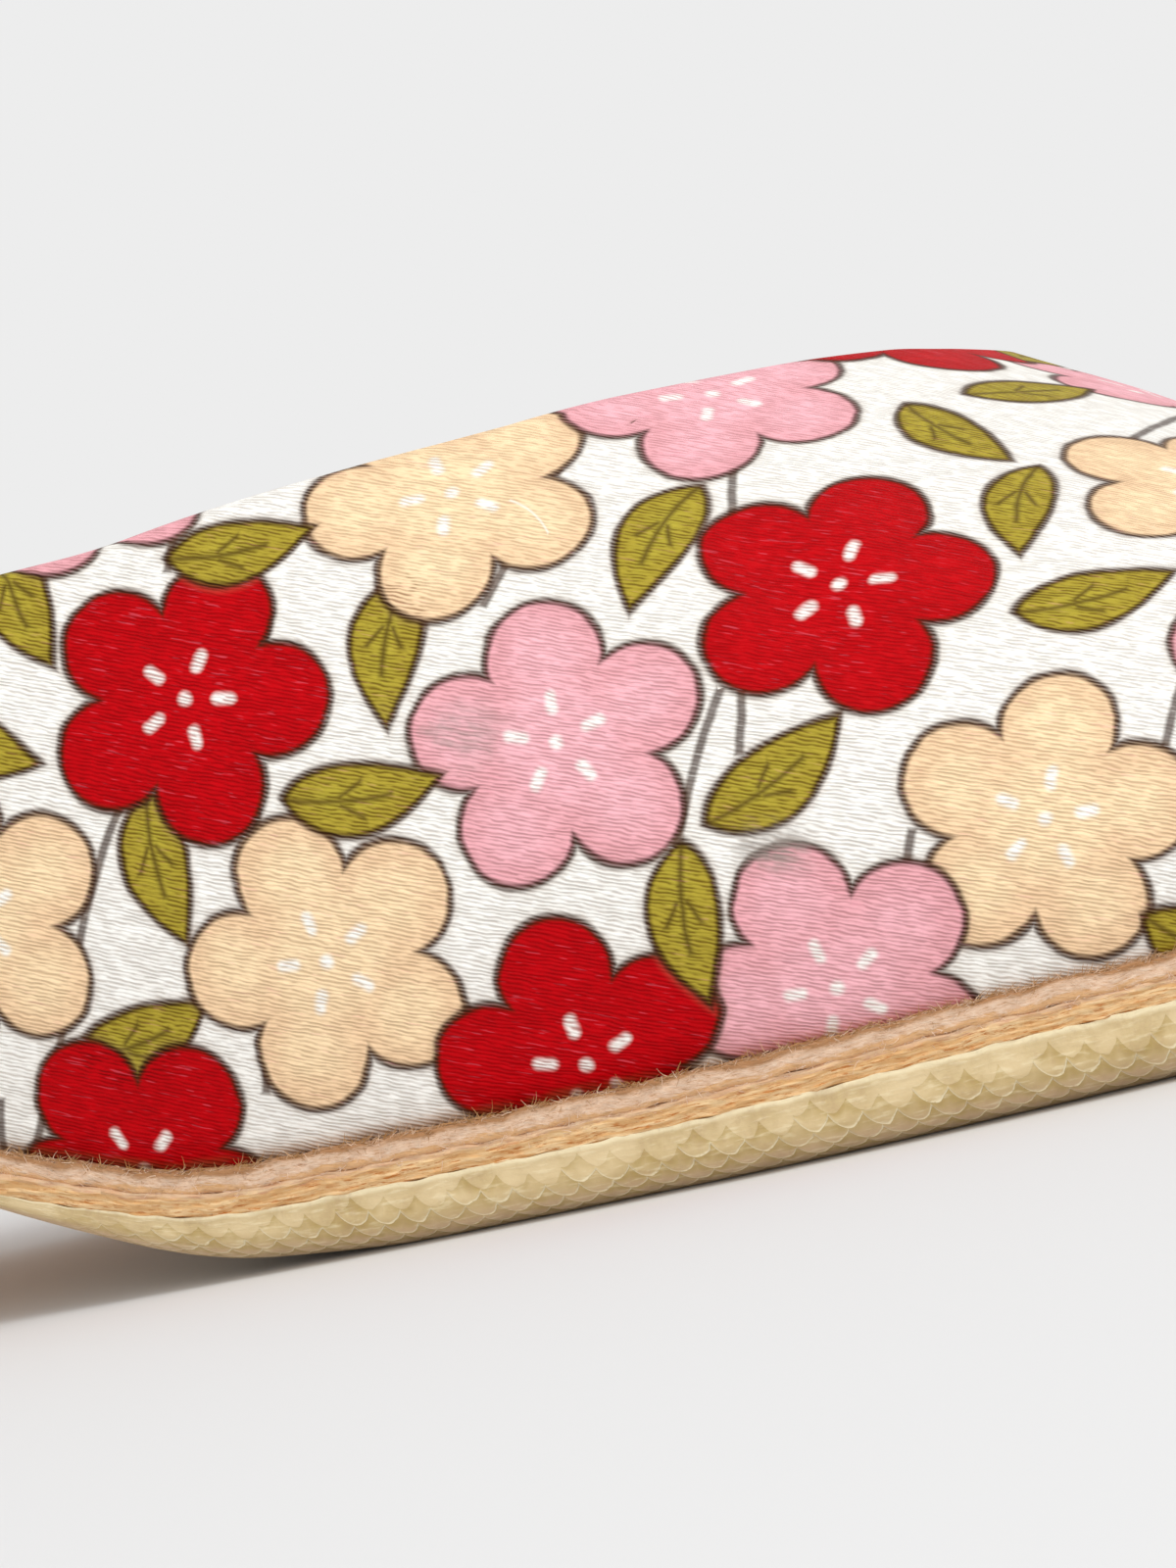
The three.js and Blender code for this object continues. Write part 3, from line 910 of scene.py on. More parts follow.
@dataclass(frozen=True)
class Weave:
    """Signals of the satin's weave."""

    rib: Signal
    streak: Signal
    thread: Signal
    dashes: Signal
    # Share of painted shade in the gaps between the ribs.
    valley_shade: Signal
    bleed: Signal
    cloud: Signal


@dataclass(frozen=True)
class PrintedSatin:
    """White satin with a drawn floral print, its ribs along the cloth's first direction."""

    blossom: Blossom = Blossom()
    leaf: Leaf = Leaf()
    rib_pitch: float = 0.205
    line: float = 0.2
    softness: float = 0.14
    white: Colour = ink(249, 247, 241)
    shade_white: Colour = ink(233, 229, 221)
    outline: Colour = ink(60, 29, 8)
    halo: Colour = ink(150, 118, 92)
    red: Colour = ink(194, 0, 12)
    pink: Colour = ink(247, 185, 194)
    peach: Colour = ink(255, 226, 183)
    olive: Colour = ink(180, 166, 58)
    vein: Colour = ink(92, 72, 28)
    thread: Colour = ink(255, 150, 176)
    deepening: Colour = ink(226, 200, 196)
    # Colour of the painted shade in the gaps between the ribs.
    valley_shade: Colour = ink(150, 128, 112)
    soil: Colour = ink(146, 136, 128)
    rust: Colour = ink(134, 98, 62)
    dirty_hem: float = 0.8
    snag: tuple[float, float, float, float] = (0.43, 34.05, 1.35, math.radians(-50))
    scuffs: tuple[tuple[float, float, float, float], ...] = (
        (-5.2, 24.2, 3.4, 0.5), (9.4, 15.5, 2.3, 0.85))

    def weave(self, shader: Shader) -> Weave:
        """Ribs of the satin, with their gaps and slubs.

        Args:
            shader: Shader of the satin.

        Returns:
            The signals.
        """
        cloth = shader.attribute("cloth")
        _, down, _ = shader.parts(cloth)
        across = 1 / self.rib_pitch
        wander = shader.noise(cloth, (0.10, 0.35, 1.0), 0.0)
        jog = shader.noise(cloth, (1.5, 0.45 * across, 1.0), 0.0)
        rib = (down * across + wander + jog * 0.7).wave() * 0.5 + 0.5
        streak = shader.noise(cloth, (0.55, across, 1.0), 2.0, 0.6)
        thread = shader.noise(cloth, (0.75, 1.6 * across, 1.0), 1.0)
        dashes = shader.noise(cloth, (1.25, 0.7 * across, 1.0), 1.0)
        # Where the gaps between the ribs take painted shade, broken up by the dashes.
        valley_shade = (1.0 - rib).math("POWER", 1.7) * dashes.rise(0.32, 0.58)
        bleed = (shader.noise(cloth, 0.45, 1.0) - 0.5) * 0.42 + (streak - 0.5) * 0.14
        return Weave(rib, streak, thread, dashes, valley_shade, bleed, shader.noise(cloth, 0.28, 1.0))

    def stems(self, shader: Shader, weave: Weave) -> Signal:
        """Share of each place that the stems cover.

        Args:
            shader: Shader of the satin.
            weave: Its weave.

        Returns:
            The share.
        """
        along, across, half = shader.parts(shader.attribute(Layer.STEM.value))
        sway = (along * 0.035).wave() * 0.5
        stem = abs(across + sway + weave.bleed * 0.4).most(abs(along) - half)
        return (stem - self.line * 1.15).inside(self.softness)

    def printed(self, shader: Shader, weave: Weave) -> tuple[Signal, Signal]:
        """White cloth with the print's layers over each other.

        Args:
            shader: Shader of the satin.
            weave: Its weave.

        Returns:
            The colour, and the share of each place that ink covers.
        """
        layers = (
            (Layer.LEAF, self.olive), (Layer.PEACH, self.peach), (Layer.PINK, self.pink),
            (Layer.RED, self.red), (Layer.SPRIG, self.olive))
        stems = self.stems(shader, weave)
        shade = weave.streak.rise(0.35, 0.75) * 0.5
        colour = shader.mix(shade, self.white, self.shade_white)
        colour = shader.mix(stems * 0.8, colour, self.outline)
        inked = stems * 0.0
        # Strength of the painted shade in the rib gaps; stronger on the leaves.
        depth = weave.valley_shade * 0.45
        for layer, fill in layers:
            leafy = layer in (Layer.LEAF, Layer.SPRIG)
            motif, mark_ink, run = (
                (self.leaf, self.vein, 0.5) if leafy else (self.blossom, self.white, 0.75))
            shape, mark = motif.distances(shader, layer, weave.bleed * run)
            dark = (*(share * 0.72 for share in fill[:3]), 1.0)
            tone = shader.mix(weave.streak.rise(0.3, 0.8) * 0.3, fill, dark)
            rim = (shape + weave.cloud * 1.4).rise(-1.5, 0.2)
            tone = shader.mix(rim * 0.3 + weave.cloud * 0.12, tone,
                              shader.mix(1.0, tone, self.deepening, "MULTIPLY"))
            # The pale flecks fade where the rib gaps take painted shade.
            tone = shader.mix(mark.inside(0.19) * (0.95 - weave.valley_shade * 0.45), tone, mark_ink)
            cover = shape.inside(self.softness)
            colour = shader.mix((shape - 0.3).inside(0.34) * 0.3, colour, self.halo)
            colour = shader.mix(cover, colour, tone)
            pen = self.line * (weave.cloud * 0.8 + 0.6)
            edge = (abs(shape) - pen).inside(self.softness)
            colour = shader.mix(edge * (0.98 - weave.rib * 0.3), colour, self.outline)
            inked = inked.most(cover)
            if leafy:
                depth = shader.blend(cover, depth, weave.valley_shade * 0.85)
        slub = shader.mix(inked, self.white, shader.mix(0.45, colour, self.thread))
        colour = shader.mix(weave.thread.rise(0.64, 0.74) * 0.3, colour, slub)
        # Painted shade darkens the gaps between the ribs.
        shaded = shader.mix(1.0, colour, self.valley_shade, "MULTIPLY")
        return shader.mix(depth, colour, shaded), inked

    def worn(self, shader: Shader, weave: Weave, colour: Signal) -> Signal:
        """Scuffs and a snag on the outer side, and dirt along the hem.

        Args:
            shader: Shader of the satin.
            weave: Its weave.
            colour: Colour of the clean cloth.

        Returns:
            The colour with its wear.
        """
        place = shader.place()
        x, y, z = shader.parts(place)
        outer_side = y.rise(-8.0, -20.0)
        grime = shader.noise(place, 0.35, 3.0, 0.65)
        for at_x, at_z, size, strength in self.scuffs:
            across, up = x - at_x, z - at_z
            near = length_of(across / 1.3 + up * 0.5, up - across * 0.1)
            worn = (near / size).rise(1.0, 0.1) * outer_side * grime.rise(0.42, 0.62)
            worn = worn * (weave.streak.rise(0.3, 0.6) * 0.7 + 0.3)
            colour = shader.mix(worn * strength, colour, self.soil)
        snag_x, snag_z, half, tilt = self.snag
        cos, sin = math.cos(tilt), math.sin(tilt)
        run = (x - snag_x) * cos + (z - snag_z) * sin
        off = (z - snag_z) * cos - (x - snag_x) * sin
        pulled = (abs(off + run * run * 0.14) - 0.05).most(abs(run) - half).inside(0.05)
        colour = shader.mix(pulled * outer_side * 0.6, colour, self.white)
        _, _, hem = shader.parts(shader.attribute("cloth"))
        dirt = (hem / self.dirty_hem).rise(1.0, 0.1) * grime.rise(0.35, 0.6)
        return shader.mix(dirt * 0.55, colour, self.rust)

    def build(self, name: str) -> Material:
        """Makes the material.

        Args:
            name: Name of the material.

        Returns:
            The material.
        """
        shader = Shader(name)
        weave = self.weave(shader)
        colour, inked = self.printed(shader, weave)
        height = weave.rib * (weave.dashes * 0.07 + 0.015) + weave.streak * 0.03
        gloss = shader.blend(inked, 0.42, 0.5) + (weave.streak - 0.5) * 0.25
        return shader.finish(self.worn(shader, weave, colour), gloss, height, 0.9,
                             Specular_IOR_Level=0.05)


# Other finishes


@dataclass(frozen=True)
class LiningLeather:
    """Smooth pale lining with a fine grain and a little soiling."""

    base: Colour = ink(222, 205, 184)
    worn: Colour = ink(198, 174, 148)

    def build(self, name: str) -> Material:
        """Makes the material.

        Args:
            name: Name of the material.

        Returns:
            The material.
        """
        shader = Shader(name)
        place = shader.place()
        cloud = shader.noise(place, 0.09, 4.0, 0.6)
        cells = shader.out(shader.node(
            "ShaderNodeTexVoronoi", {"feature": "DISTANCE_TO_EDGE"},
            {"Vector": place, "Scale": 1.7}), "Distance")
        colour = shader.mix(cloud.rise(0.35, 0.75) * 0.5, self.base, self.worn)
        colour = shader.mix(cells.rise(0.08, 0.0) * 0.2, colour, self.worn)
        height = cells.rise(0.0, 0.12) * 0.03 + cloud * 0.05
        return shader.finish(colour, 0.45 + cloud * 0.2, height, 0.5)


@dataclass(frozen=True)
class FibreEdge:
    """Fuzzy cut edge of a fibre board, streaked along the edge."""

    base: Colour = ink(226, 188, 156)
    pale: Colour = ink(240, 212, 186)
    dark: Colour = ink(190, 140, 98)
    amber: Colour = ink(166, 110, 52)
    tinge: Colour = ink(218, 164, 100)

    def build(self, name: str) -> Material:
        """Makes the material.

        Args:
            name: Name of the material.

        Returns:
            The material.
        """
        shader = Shader(name)
        edge = shader.attribute("cloth")
        along, down, up = shader.parts(edge)
        slanted = shader.vector(along + up * 0.9, up)
        fine = shader.noise(slanted, (1.9, 10.0, 1.0), 4.0, 0.7)
        blotch = shader.noise(edge, (0.35, 1.2, 1.0), 3.0)
        colour = shader.mix(fine.rise(0.42, 0.68), self.base, self.pale)
        colour = shader.mix(fine.rise(0.46, 0.3), colour, self.dark)
        stained = (up + (blotch - 0.5) * 0.7 + (fine - 0.5) * 0.6).rise(0.62, 0.86)
        colour = shader.mix(stained * 0.85, colour, self.amber)
        lower = (up + (blotch - 0.5) * 0.9 + (fine - 0.5) * 0.4).rise(0.34, 0.12)
        colour = shader.mix(lower * 0.7, colour, self.tinge)
        height = fine * 0.14 + blotch * 0.12
        return shader.finish(colour, 0.8 + fine * 0.15, height, 0.9, Sheen_Weight=0.2)


@dataclass(frozen=True)
class SoleLeather:
    """Orange-tan leather sole: layered, frayed edge and a smooth waxed waist beneath."""

    base: Colour = ink(218, 170, 112)
    # Deep serves the grain, the underside clouding and the painted shade in the edge's low swirls;
    # pale serves the painted highlight on its raised layers.
    deep: Colour = ink(192, 116, 44)
    pale: Colour = ink(238, 204, 154)
    fibre: Colour = ink(218, 184, 156)
    edge_end: float = 1.36

    def build(self, name: str) -> Material:
        """Makes the material, plain past the edge's end.

        Args:
            name: Name of the material.

        Returns:
            The material.
        """
        shader = Shader(name)
        edge = shader.attribute("cloth")
        place = shader.place()
        _, down, _ = shader.parts(edge)
        cut = down.rise(self.edge_end, self.edge_end - 0.15)
        layers = shader.noise(edge, (0.35, 5.5, 1.0), 4.0, 0.6)
        swirl = shader.noise(edge, (1.0, 8.0, 1.0), 5.0, 0.7)
        grain = shader.noise(place, 1.4, 4.0, 0.6)
        cloud = shader.noise(place, 0.07, 3.0, 0.55)
        # Pale on the raised layers and deep in the low swirls, following the relief: painted
        # highlight and painted shade over the leather's own streaked tone.
        colour = shader.mix(layers.rise(0.4, 0.62) * cut, self.base, self.pale)
        colour = shader.mix(swirl.rise(0.48, 0.36) * cut, colour, self.deep)
        colour = shader.mix(grain.rise(0.5, 0.75) * 0.3, colour, self.deep)
        colour = shader.mix(cloud.rise(0.35, 0.7) * (1.0 - cut) * 0.35, colour, self.deep)
        upper = (down + (swirl - 0.5) * 0.9).rise(0.42, 0.15)
        colour = shader.mix(upper * 0.6, colour, self.fibre)
        height = (layers + swirl) * cut * 0.12 + grain * 0.04
        return shader.finish(colour, 0.62 + grain * 0.2, height, 0.8)


@dataclass(frozen=True)
class TreadRubber:
    """Tan rubber: rows of shallow scales, each lip lit by a painted highlight on the edge, a scale
    tread beneath.
    """

    scale_length: float = 1.68
    scale_height: float = 0.8
    tilt: float = math.radians(8)
    band: float = 0.75
    lip: float = 0.85
    lip_place: float = 0.62
    tread_pitch: tuple[float, float] = (1.55, 0.95)
    base: Colour = ink(217, 195, 152)
    # Greenish tone of the clouding, also used for the painted shade in the scales' recesses.
    green: Colour = ink(176, 150, 90)
    # Pale tone of the streaks and the brink at the top, also the painted highlight along the lip of
    # each scale.
    rim: Colour = ink(244, 231, 194)
    dirt: Colour = ink(176, 144, 112)
    lower_tone: Colour = ink(203, 173, 142)
    under: Colour = ink(194, 168, 118)

    def scales(self, shader: Shader, along: Signal, down: Signal) -> tuple[Signal, ...]:
        """Share of the way down each scale, millimetres over its lip, and where scales lie.

        Args:
            shader: Shader of the rubber.
            along: Millimetres along the edge.
            down: Millimetres down its profile.

        Returns:
            The three signals.
        """
        cos, sin = math.cos(self.tilt), math.sin(self.tilt)
        wobble = shader.noise(shader.vector(along, down), 0.9, 2.0) - 0.5
        p = (along * cos + down * sin) / self.scale_length + wobble * 0.22
        q = (down * cos - along * sin) / self.scale_height + wobble * 0.4
        row = q.math("FLOOR")

        def edge(of_row: Signal) -> Signal:
            """Lower boundary of a row, a round lip that climbs steeply to the next scale.

            Args:
                of_row: Row numbers.

            Returns:
                Places down the edge, in rows.
            """
            part = (p + of_row * 0.5).math("FRACT")
            low = self.lip_place
            aside = ((low - part) / low).most((part - low) / (1.0 - low))
            return of_row + 1.0 + (1.0 - aside * aside) * self.lip

        belongs = row - q.math("LESS_THAN", edge(row - 1.0))
        low, high = edge(belongs), edge(belongs - 1.0)
        share = (q - high) / (low - high)
        cell = (p + belongs * 0.5).math("FLOOR") + 0.5 - belongs * 0.5
        middle = cell * (self.scale_length * sin) + (belongs + 1.0) * (self.scale_height * cos)
        # The band of painted highlight along each lip is widened where the lip climbs to the next
        # scale.
        climbing = (p + belongs * 0.5).math("FRACT").rise(0.4, 0.75)
        over_lip = (low - q) * self.scale_height - climbing * 0.07
        return share, over_lip, middle.math("GREATER_THAN", self.band + 0.3)

    def build(self, name: str) -> Material:
        """Makes the material.

        Args:
            name: Name of the material.

        Returns:
            The material.
        """
        shader = Shader(name)
        along, down, _ = shader.parts(shader.attribute("cloth"))
        place = shader.place()
        x, y, z = shader.parts(place)
        cloud = shader.noise(place, 0.3, 4.0, 0.6)
        fine = shader.noise(place, 2.6, 4.0, 0.65)
        streak = shader.noise(shader.vector(along, down), (0.8, 4.0, 1.0), 3.0)
        share, over_lip, scaled = self.scales(shader, along, down)
        scaled = scaled * along.rise(-34.0, -24.0)
        colour = shader.mix(cloud.rise(0.35, 0.65) * 0.45, self.base, self.green)
        # Darker and browner, then pinker, towards the bottom of the edge.
        colour = shader.mix(down.rise(0.9, 2.2) * 0.65, colour, self.under)
        colour = shader.mix(down.rise(1.7, 3.0) * 0.8, colour, self.lower_tone)
        # Painted shade in the recess just under each lip, in the green tone.
        hollow_shade = share.rise(0.75, 0.1) * scaled
        colour = shader.mix(hollow_shade * (cloud.rise(0.35, 0.6) * 0.5 + 0.35), colour, self.green)
        # Painted highlight along the lip of each scale; the brink at the top of the edge is pale too.
        lip_highlight = (over_lip - 0.05).inside(0.07) * scaled * fine.rise(0.3, 0.5)
        brink = (down + (streak - 0.5) * 0.3).rise(0.34, 0.1)
        colour = shader.mix((lip_highlight * 0.85).most(brink * 0.7), colour, self.rim)
        colour = shader.mix(streak.rise(0.52, 0.7) * 0.35, colour, self.rim)
        soiled = (cloud * fine).rise(0.22, 0.42) * 0.3
        colour = shader.mix(soiled, colour, self.dirt)
        pitch, depth = self.tread_pitch
        row = y / depth
        offset = row.math("FLOOR").math("PINGPONG", 1.0) * 0.5
        scallop = abs((x / pitch + offset).math("FRACT") - 0.5)
        under = (row + scallop * 0.7).math("FRACT")
        beneath = z.rise(0.12, 0.03)
        relief = (share.math("POWER", 2.5) - 1.0) * scaled * (1.0 - beneath) * 0.26
        height = fine * 0.05 + cloud * 0.05 + streak * 0.06 + under * beneath * 0.35 + relief
        return shader.finish(colour, 0.5 + fine * 0.2, height, 0.7, Specular_IOR_Level=0.3)


@dataclass(frozen=True)
class LiftRubber:
    """Dense brown rubber of the top lift, scratched at its foot."""

    base: Colour = ink(150, 122, 92)
    worn: Colour = ink(112, 92, 74)

    def build(self, name: str) -> Material:
        """Makes the material.

        Args:
            name: Name of the material.

        Returns:
            The material.
        """
        shader = Shader(name)
        place = shader.place()
        streak = shader.noise(place, (0.6, 0.6, 3.5), 4.0, 0.65)
        _, _, z = shader.parts(place)
        foot = (z + streak * 1.2).rise(1.7, 0.6)
        colour = shader.mix(streak.rise(0.4, 0.7) * 0.6, self.base, self.worn)
        colour = shader.mix(foot * 0.6, colour, self.worn)
        return shader.finish(colour, 0.55 + streak * 0.2, streak * 0.12 + foot * 0.05, 0.6)


@dataclass(frozen=True)
class FuzzFibre:
    """Loose fibres, amber near the satin and pale lower down."""

    amber: Colour = ink(172, 124, 66)
    pale: Colour = ink(236, 208, 182)

    def build(self, name: str) -> Material:
        """Makes the material.

        Args:
            name: Name of the material.

        Returns:
            The material.
        """
        shader = Shader(name)
        tint, along, _ = shader.parts(shader.attribute("cloth"))
        colour = shader.mix(tint.rise(0.2, 0.8), self.amber, self.pale)
        return shader.finish(colour, 0.75 + along * 0.1, None, 0.0, Sheen_Weight=0.3)


# Sub-assemblies


@dataclass
class Upper:
    """Hollow printed wall over the toe and along both sides, with a rounded topline."""

    last: LastForm
    chart: FloralChart
    wing_slant: float = 9.0
    wing_curve: float = 1.4
    wing_columns: int = 230
    wing_crowding: float = 1.7
    vamp_columns: int = 170
    outer_rows: int = 54
    inner_rows: int = 28
    bead_rows: int = 6
    rear_rows: int = 4
    hem_tuck: float = 0.35
    tuck_reach: float = 0.5
    gathers: Ripple = Ripple(0.06, (2.6, 3.7, 5.3), 5)
    gather_reach: float = 1.6
    crease_lean: float = 0.45
    lining_axis: Point = (-14.0, 0.0, 8.0)
    creases: tuple[tuple[float, float, float, float, float], ...] = (
        (-8.0, 17.0, 11.0, 2.3, -0.18), (-2.0, 18.5, 9.0, 2.0, 0.1), (4.0, 20.0, 11.0, 1.6, -0.2),
        (8.2, 21.5, 9.0, 1.7, 0.12), (12.5, 23.0, 10.0, 1.9, -0.26), (16.8, 24.5, 9.0, 1.7, 0.12),
        (21.0, 26.0, 9.0, 1.7, -0.2), (31.0, 27.0, 9.0, 2.2, -0.12))

    def topline_over(self, x: Array) -> Array:
        """Height over the feather line at which the wall's skins end under the bead."""
        return self.last.topline_over(x) - self.last.wall / 2

    def topline_cut(self, x: Array) -> Array:
        """Share of the way from feather to ridge at which the topline cuts the last.

        Args:
            x: Places along the shoe.

        Returns:
            Shares, 1 where the vamp is whole.
        """
        high = np.minimum(1, self.topline_over(x) / self.last.crown_over(x))
        cut = np.arcsin(high ** (1 / self.last.top_roundness)) / (math.pi / 2)
        return np.where(x >= self.last.throat - 1e-9, 1.0, cut)

    def relief(self, skin: Array, cloth: Array) -> Array:
        """Soft troughs and ridges of the worn vamp, and the hem's small gathers.

        Args:
            skin: Points of the wall's outer skin.
            cloth: Their cloth places.

        Returns:
            Heights over the skin.
        """
        total = np.zeros(cloth.shape[:-1])
        for x, up, reach, width, depth in self.creases:
            rise = cloth[..., 2] - up
            across = (skin[..., 0] - x) + self.crease_lean * rise
            run = np.clip(1 - (rise / reach) ** 2, 0, 1) ** 2
            total += depth * run * np.exp(-(across / width) ** 2)
        gathers = self.gathers(cloth[..., 0])
        return total + gathers * np.exp(-np.maximum(cloth[..., 2], 0) / self.gather_reach)

    def stations(self, rows: int) -> Array:
        """Places along the shoe of a skin's vertices.

        Args:
            rows: Faces from feather to topline.

        Returns:
            Places, by station from the wing's end to the toe, and by row.
        """
        ups = np.linspace(0, 1, rows + 1)
        throat = self.last.throat
        wing = (1 - np.arange(self.wing_columns) / self.wing_columns) ** self.wing_crowding
        end = self.last.wing_end_share * self.last.heel_reach
        rear = end + self.wing_slant * (1 - ups ** self.wing_curve)
        wing_x = throat + (rear - throat) * wing[:, None]
        runs = np.linspace(throat, self.last.toe_reach, self.vamp_columns + 1)
        vamp_x = self.last.rounded_place(runs)[:, None] * np.ones(rows + 1)
        return np.concatenate((wing_x, vamp_x))

    def skins(self, side: Side, rows: int) -> tuple[Array, Array, Array]:
        """Outer and inner skin of one side, drawn to a point at the toe.

        Args:
            side: Side of the shoe.
            rows: Faces from feather to topline.

        Returns:
            Points of both skins, and the cloth places that they share.
        """
        last = self.last
        x = self.stations(rows)
        cut = self.topline_cut(x)
        cut[self.wing_columns:] = 1.0
        turn = side * (1 - np.linspace(0, 1, rows + 1) * cut)
        cloth = last.cloth(x, turn)
        normal = last.normal(x, turn)
        skin = last.point(x, turn)
        tuck = self.hem_tuck * np.exp(-cloth[..., 2] / self.tuck_reach)
        outer = skin + normal * (self.relief(skin, cloth) - tuck)[..., None]
        inner = skin - normal * last.wall
        tip = np.array((last.toe_reach, last.outline_y(last.toe_reach, Side.INNER),
                        last.feather_z(last.toe_reach)))
        outer[-1] = tip
        inner[-1] = tip - (last.wall, 0, 0)
        return outer, inner, cloth

    def bead_axes(self, outer: Array, inner: Array) -> tuple[Array, Array]:
        """Directions across and up the rounded topline.

        Args:
            outer: Points of the outer skin.
            inner: Points of the inner skin.

        Returns:
            Both directions, by station.
        """
        top = outer[:, -1]
        out = unit(top - inner[:, -1])
        up = np.cross(unit(np.gradient(top, axis=0)), out)
        up *= np.sign((up * (top - outer[:, -2])).sum(-1))[:, None]
        throat = self.wing_columns
        back = np.array((-1.0, 0.0, 0.0))
        up[throat:] = unit(back - (back @ out[throat]) * out[throat])
        return out, up

    def side(self, side: Side, rows: int) -> Sheet:
        """One side of the wall, as a loop of skins and bead at each station.

        Args:
            side: Side of the shoe.
            rows: Faces from feather to topline on each skin.

        Returns:
            The side, open only along the ridge of the vamp.
        """
        outer, inner, cloth = self.skins(side, rows)
        out, up = self.bead_axes(outer, inner)
        phi = np.arange(1, self.bead_rows) * math.pi / self.bead_rows
        middle = (outer[:, -1] + inner[:, -1]) / 2
        half = np.linalg.norm(outer[:, -1] - inner[:, -1], axis=-1)[:, None, None] / 2
        bead = middle[:, None] + half * (np.cos(phi)[:, None] * out[:, None]
                                         + np.sin(phi)[:, None] * up[:, None])
        loop = np.concatenate((outer, bead, inner[:, ::-1], outer[:, :1]), 1)
        bead_cloth = np.repeat(cloth[:, -1:], self.bead_rows - 1, 1)
        bead_cloth = bead_cloth + (0, side, 0) * (phi * self.last.wall / 2)[None, :, None]
        loop_cloth = np.concatenate((cloth, bead_cloth, cloth[:, ::-1], cloth[:, :1]), 1)
        rear_loop = self.rear_edge(outer[0], inner[0], outer[1], out[0], up[0], phi)
        loop = np.concatenate((rear_loop, loop))
        loop_cloth = np.concatenate((np.repeat(loop_cloth[:1], self.rear_rows, 0), loop_cloth))
        columns = loop.shape[0]
        sheet = placed_grid(
            columns - 1, loop.shape[1] - 1, lambda i, j: (loop[i, j], loop_cloth[i, j]))
        vamp_from = self.rear_rows + self.wing_columns
        beaded = range(rows + 1, rows + self.bead_rows)
        hidden = [vert for rank, vert in enumerate(sheet.verts)
                  if rank % columns > vamp_from and rank // columns in beaded]
        bmesh.ops.delete(sheet, geom=hidden, context="VERTS")
        return sheet

    def rear_edge(self, outer: Array, inner: Array, ahead: Array, top_normal: Array,
                  upward: Array, phi: Array) -> Array:
        """Rounded rear edge of a wing, as loops from its middle line to the skins' ends.

        Args:
            outer: Rear points of the outer skin.
            inner: Rear points of the inner skin.
            ahead: Points of the outer skin one station ahead.
            top_normal: Direction across the topline there.
            upward: Direction up the topline there.
            phi: Turns round the topline's bead.

        Returns:
            Points of the loops, the hindmost first.
        """
        middle = (outer + inner) / 2
        normal = unit(outer - inner)
        behind = outer - ahead
        down = np.gradient(outer, axis=0)
        behind = unit(behind - (behind * unit(down)).sum(-1)[:, None] * unit(down))
        behind = unit(behind - (behind * normal).sum(-1)[:, None] * normal)
        half = self.last.wall / 2
        loops = []
        for psi in (np.arange(self.rear_rows, 0, -1) * math.pi / 2 / self.rear_rows):
            out = middle + half * (math.cos(psi) * normal + math.sin(psi) * behind)
            back = middle + half * (math.sin(psi) * behind - math.cos(psi) * normal)
            turn = np.cos(phi)[:, None]
            corner = turn * math.cos(psi) * top_normal + np.abs(turn) * math.sin(psi) * behind[-1]
            bead = middle[-1] + half * (corner + np.sin(phi)[:, None] * upward)
            loops.append(np.concatenate((out, bead, back[::-1], out[:1])))
        return np.array(loops)

    def build(self, satin: Material, lining: Material) -> None:
        """Makes the upper, with satin outside and leather within.

        Args:
            satin: Finish of the outside.
            lining: Finish of the inside.
        """
        sheet = joined(self.side(Side.OUTER, self.outer_rows), self.side(Side.INNER, self.inner_rows))
        piece = finished("printed_upper", sheet, sharp=60)
        self.chart.lay(piece.data)
        settle(piece, satin, "printed_satin", "upper")
        piece.data.materials.append(lining)
        self.line_inside(piece.data)

    def line_inside(self, mesh: bpy.types.Mesh) -> None:
        """Gives the lining to the faces that look into the shoe.

        Args:
            mesh: Mesh of the upper.
        """
        count = len(mesh.polygons)
        centres, normals = np.empty(count * 3), np.empty(count * 3)
        mesh.polygons.foreach_get("center", centres)
        mesh.polygons.foreach_get("normal", normals)
        centres, normals = centres.reshape(-1, 3), normals.reshape(-1, 3)
        axis = centres * (1, 0, 0) + np.array(self.lining_axis) * MM
        inward = ((centres - axis) * normals).sum(-1) < 0
        mesh.polygons.foreach_set("material_index", inward.astype(np.int32))


@dataclass
class SmoothPath:
    """Centripetal curve through points, read by share of its length."""

    points: Array
    samples: int = 60

    @cached_property
    def sampled(self) -> tuple[Array, Array]:
        """Points of the curve and the length up to each.

        Returns:
            Both, at every sample.
        """
        knots = self.points
        first = 2 * knots[0] - knots[1]
        last = 2 * knots[-1] - knots[-2]
        padded = np.concatenate((first[None], knots, last[None]))
        gaps = np.sqrt(np.linalg.norm(np.diff(padded, axis=0), axis=1))
        pieces = []
        for i in range(len(knots) - 1):
            p0, p1, p2, p3 = padded[i:i + 4]
            d0, d1, d2 = gaps[i:i + 3]
            start = ((p1 - p0) / d0 - (p2 - p0) / (d0 + d1) + (p2 - p1) / d1) * d1
            end = ((p2 - p1) / d1 - (p3 - p1) / (d1 + d2) + (p3 - p2) / d2) * d1
            t = (np.arange(self.samples) / self.samples)[:, None]
            ends = (2 * t ** 3 - 3 * t ** 2 + 1) * p1 + (3 * t ** 2 - 2 * t ** 3) * p2
            pieces.append(ends + (t ** 3 - 2 * t ** 2 + t) * start + (t ** 3 - t ** 2) * end)
        curve = np.concatenate((*pieces, knots[-1:]))
        return curve, run_lengths(curve, 0)

    def at(self, share: Array) -> tuple[Array, Array, Array]:
        """Points, directions and lengths at shares of the whole length.

        Args:
            share: Shares from 0 to 1.

        Returns:
            All three, at each share.
        """
        curve, lengths = self.sampled
        wanted = share * lengths[-1]
        place = np.stack([np.interp(wanted, lengths, curve[:, k]) for k in range(3)], -1)
        return place, unit(np.gradient(place, axis=0)), wanted


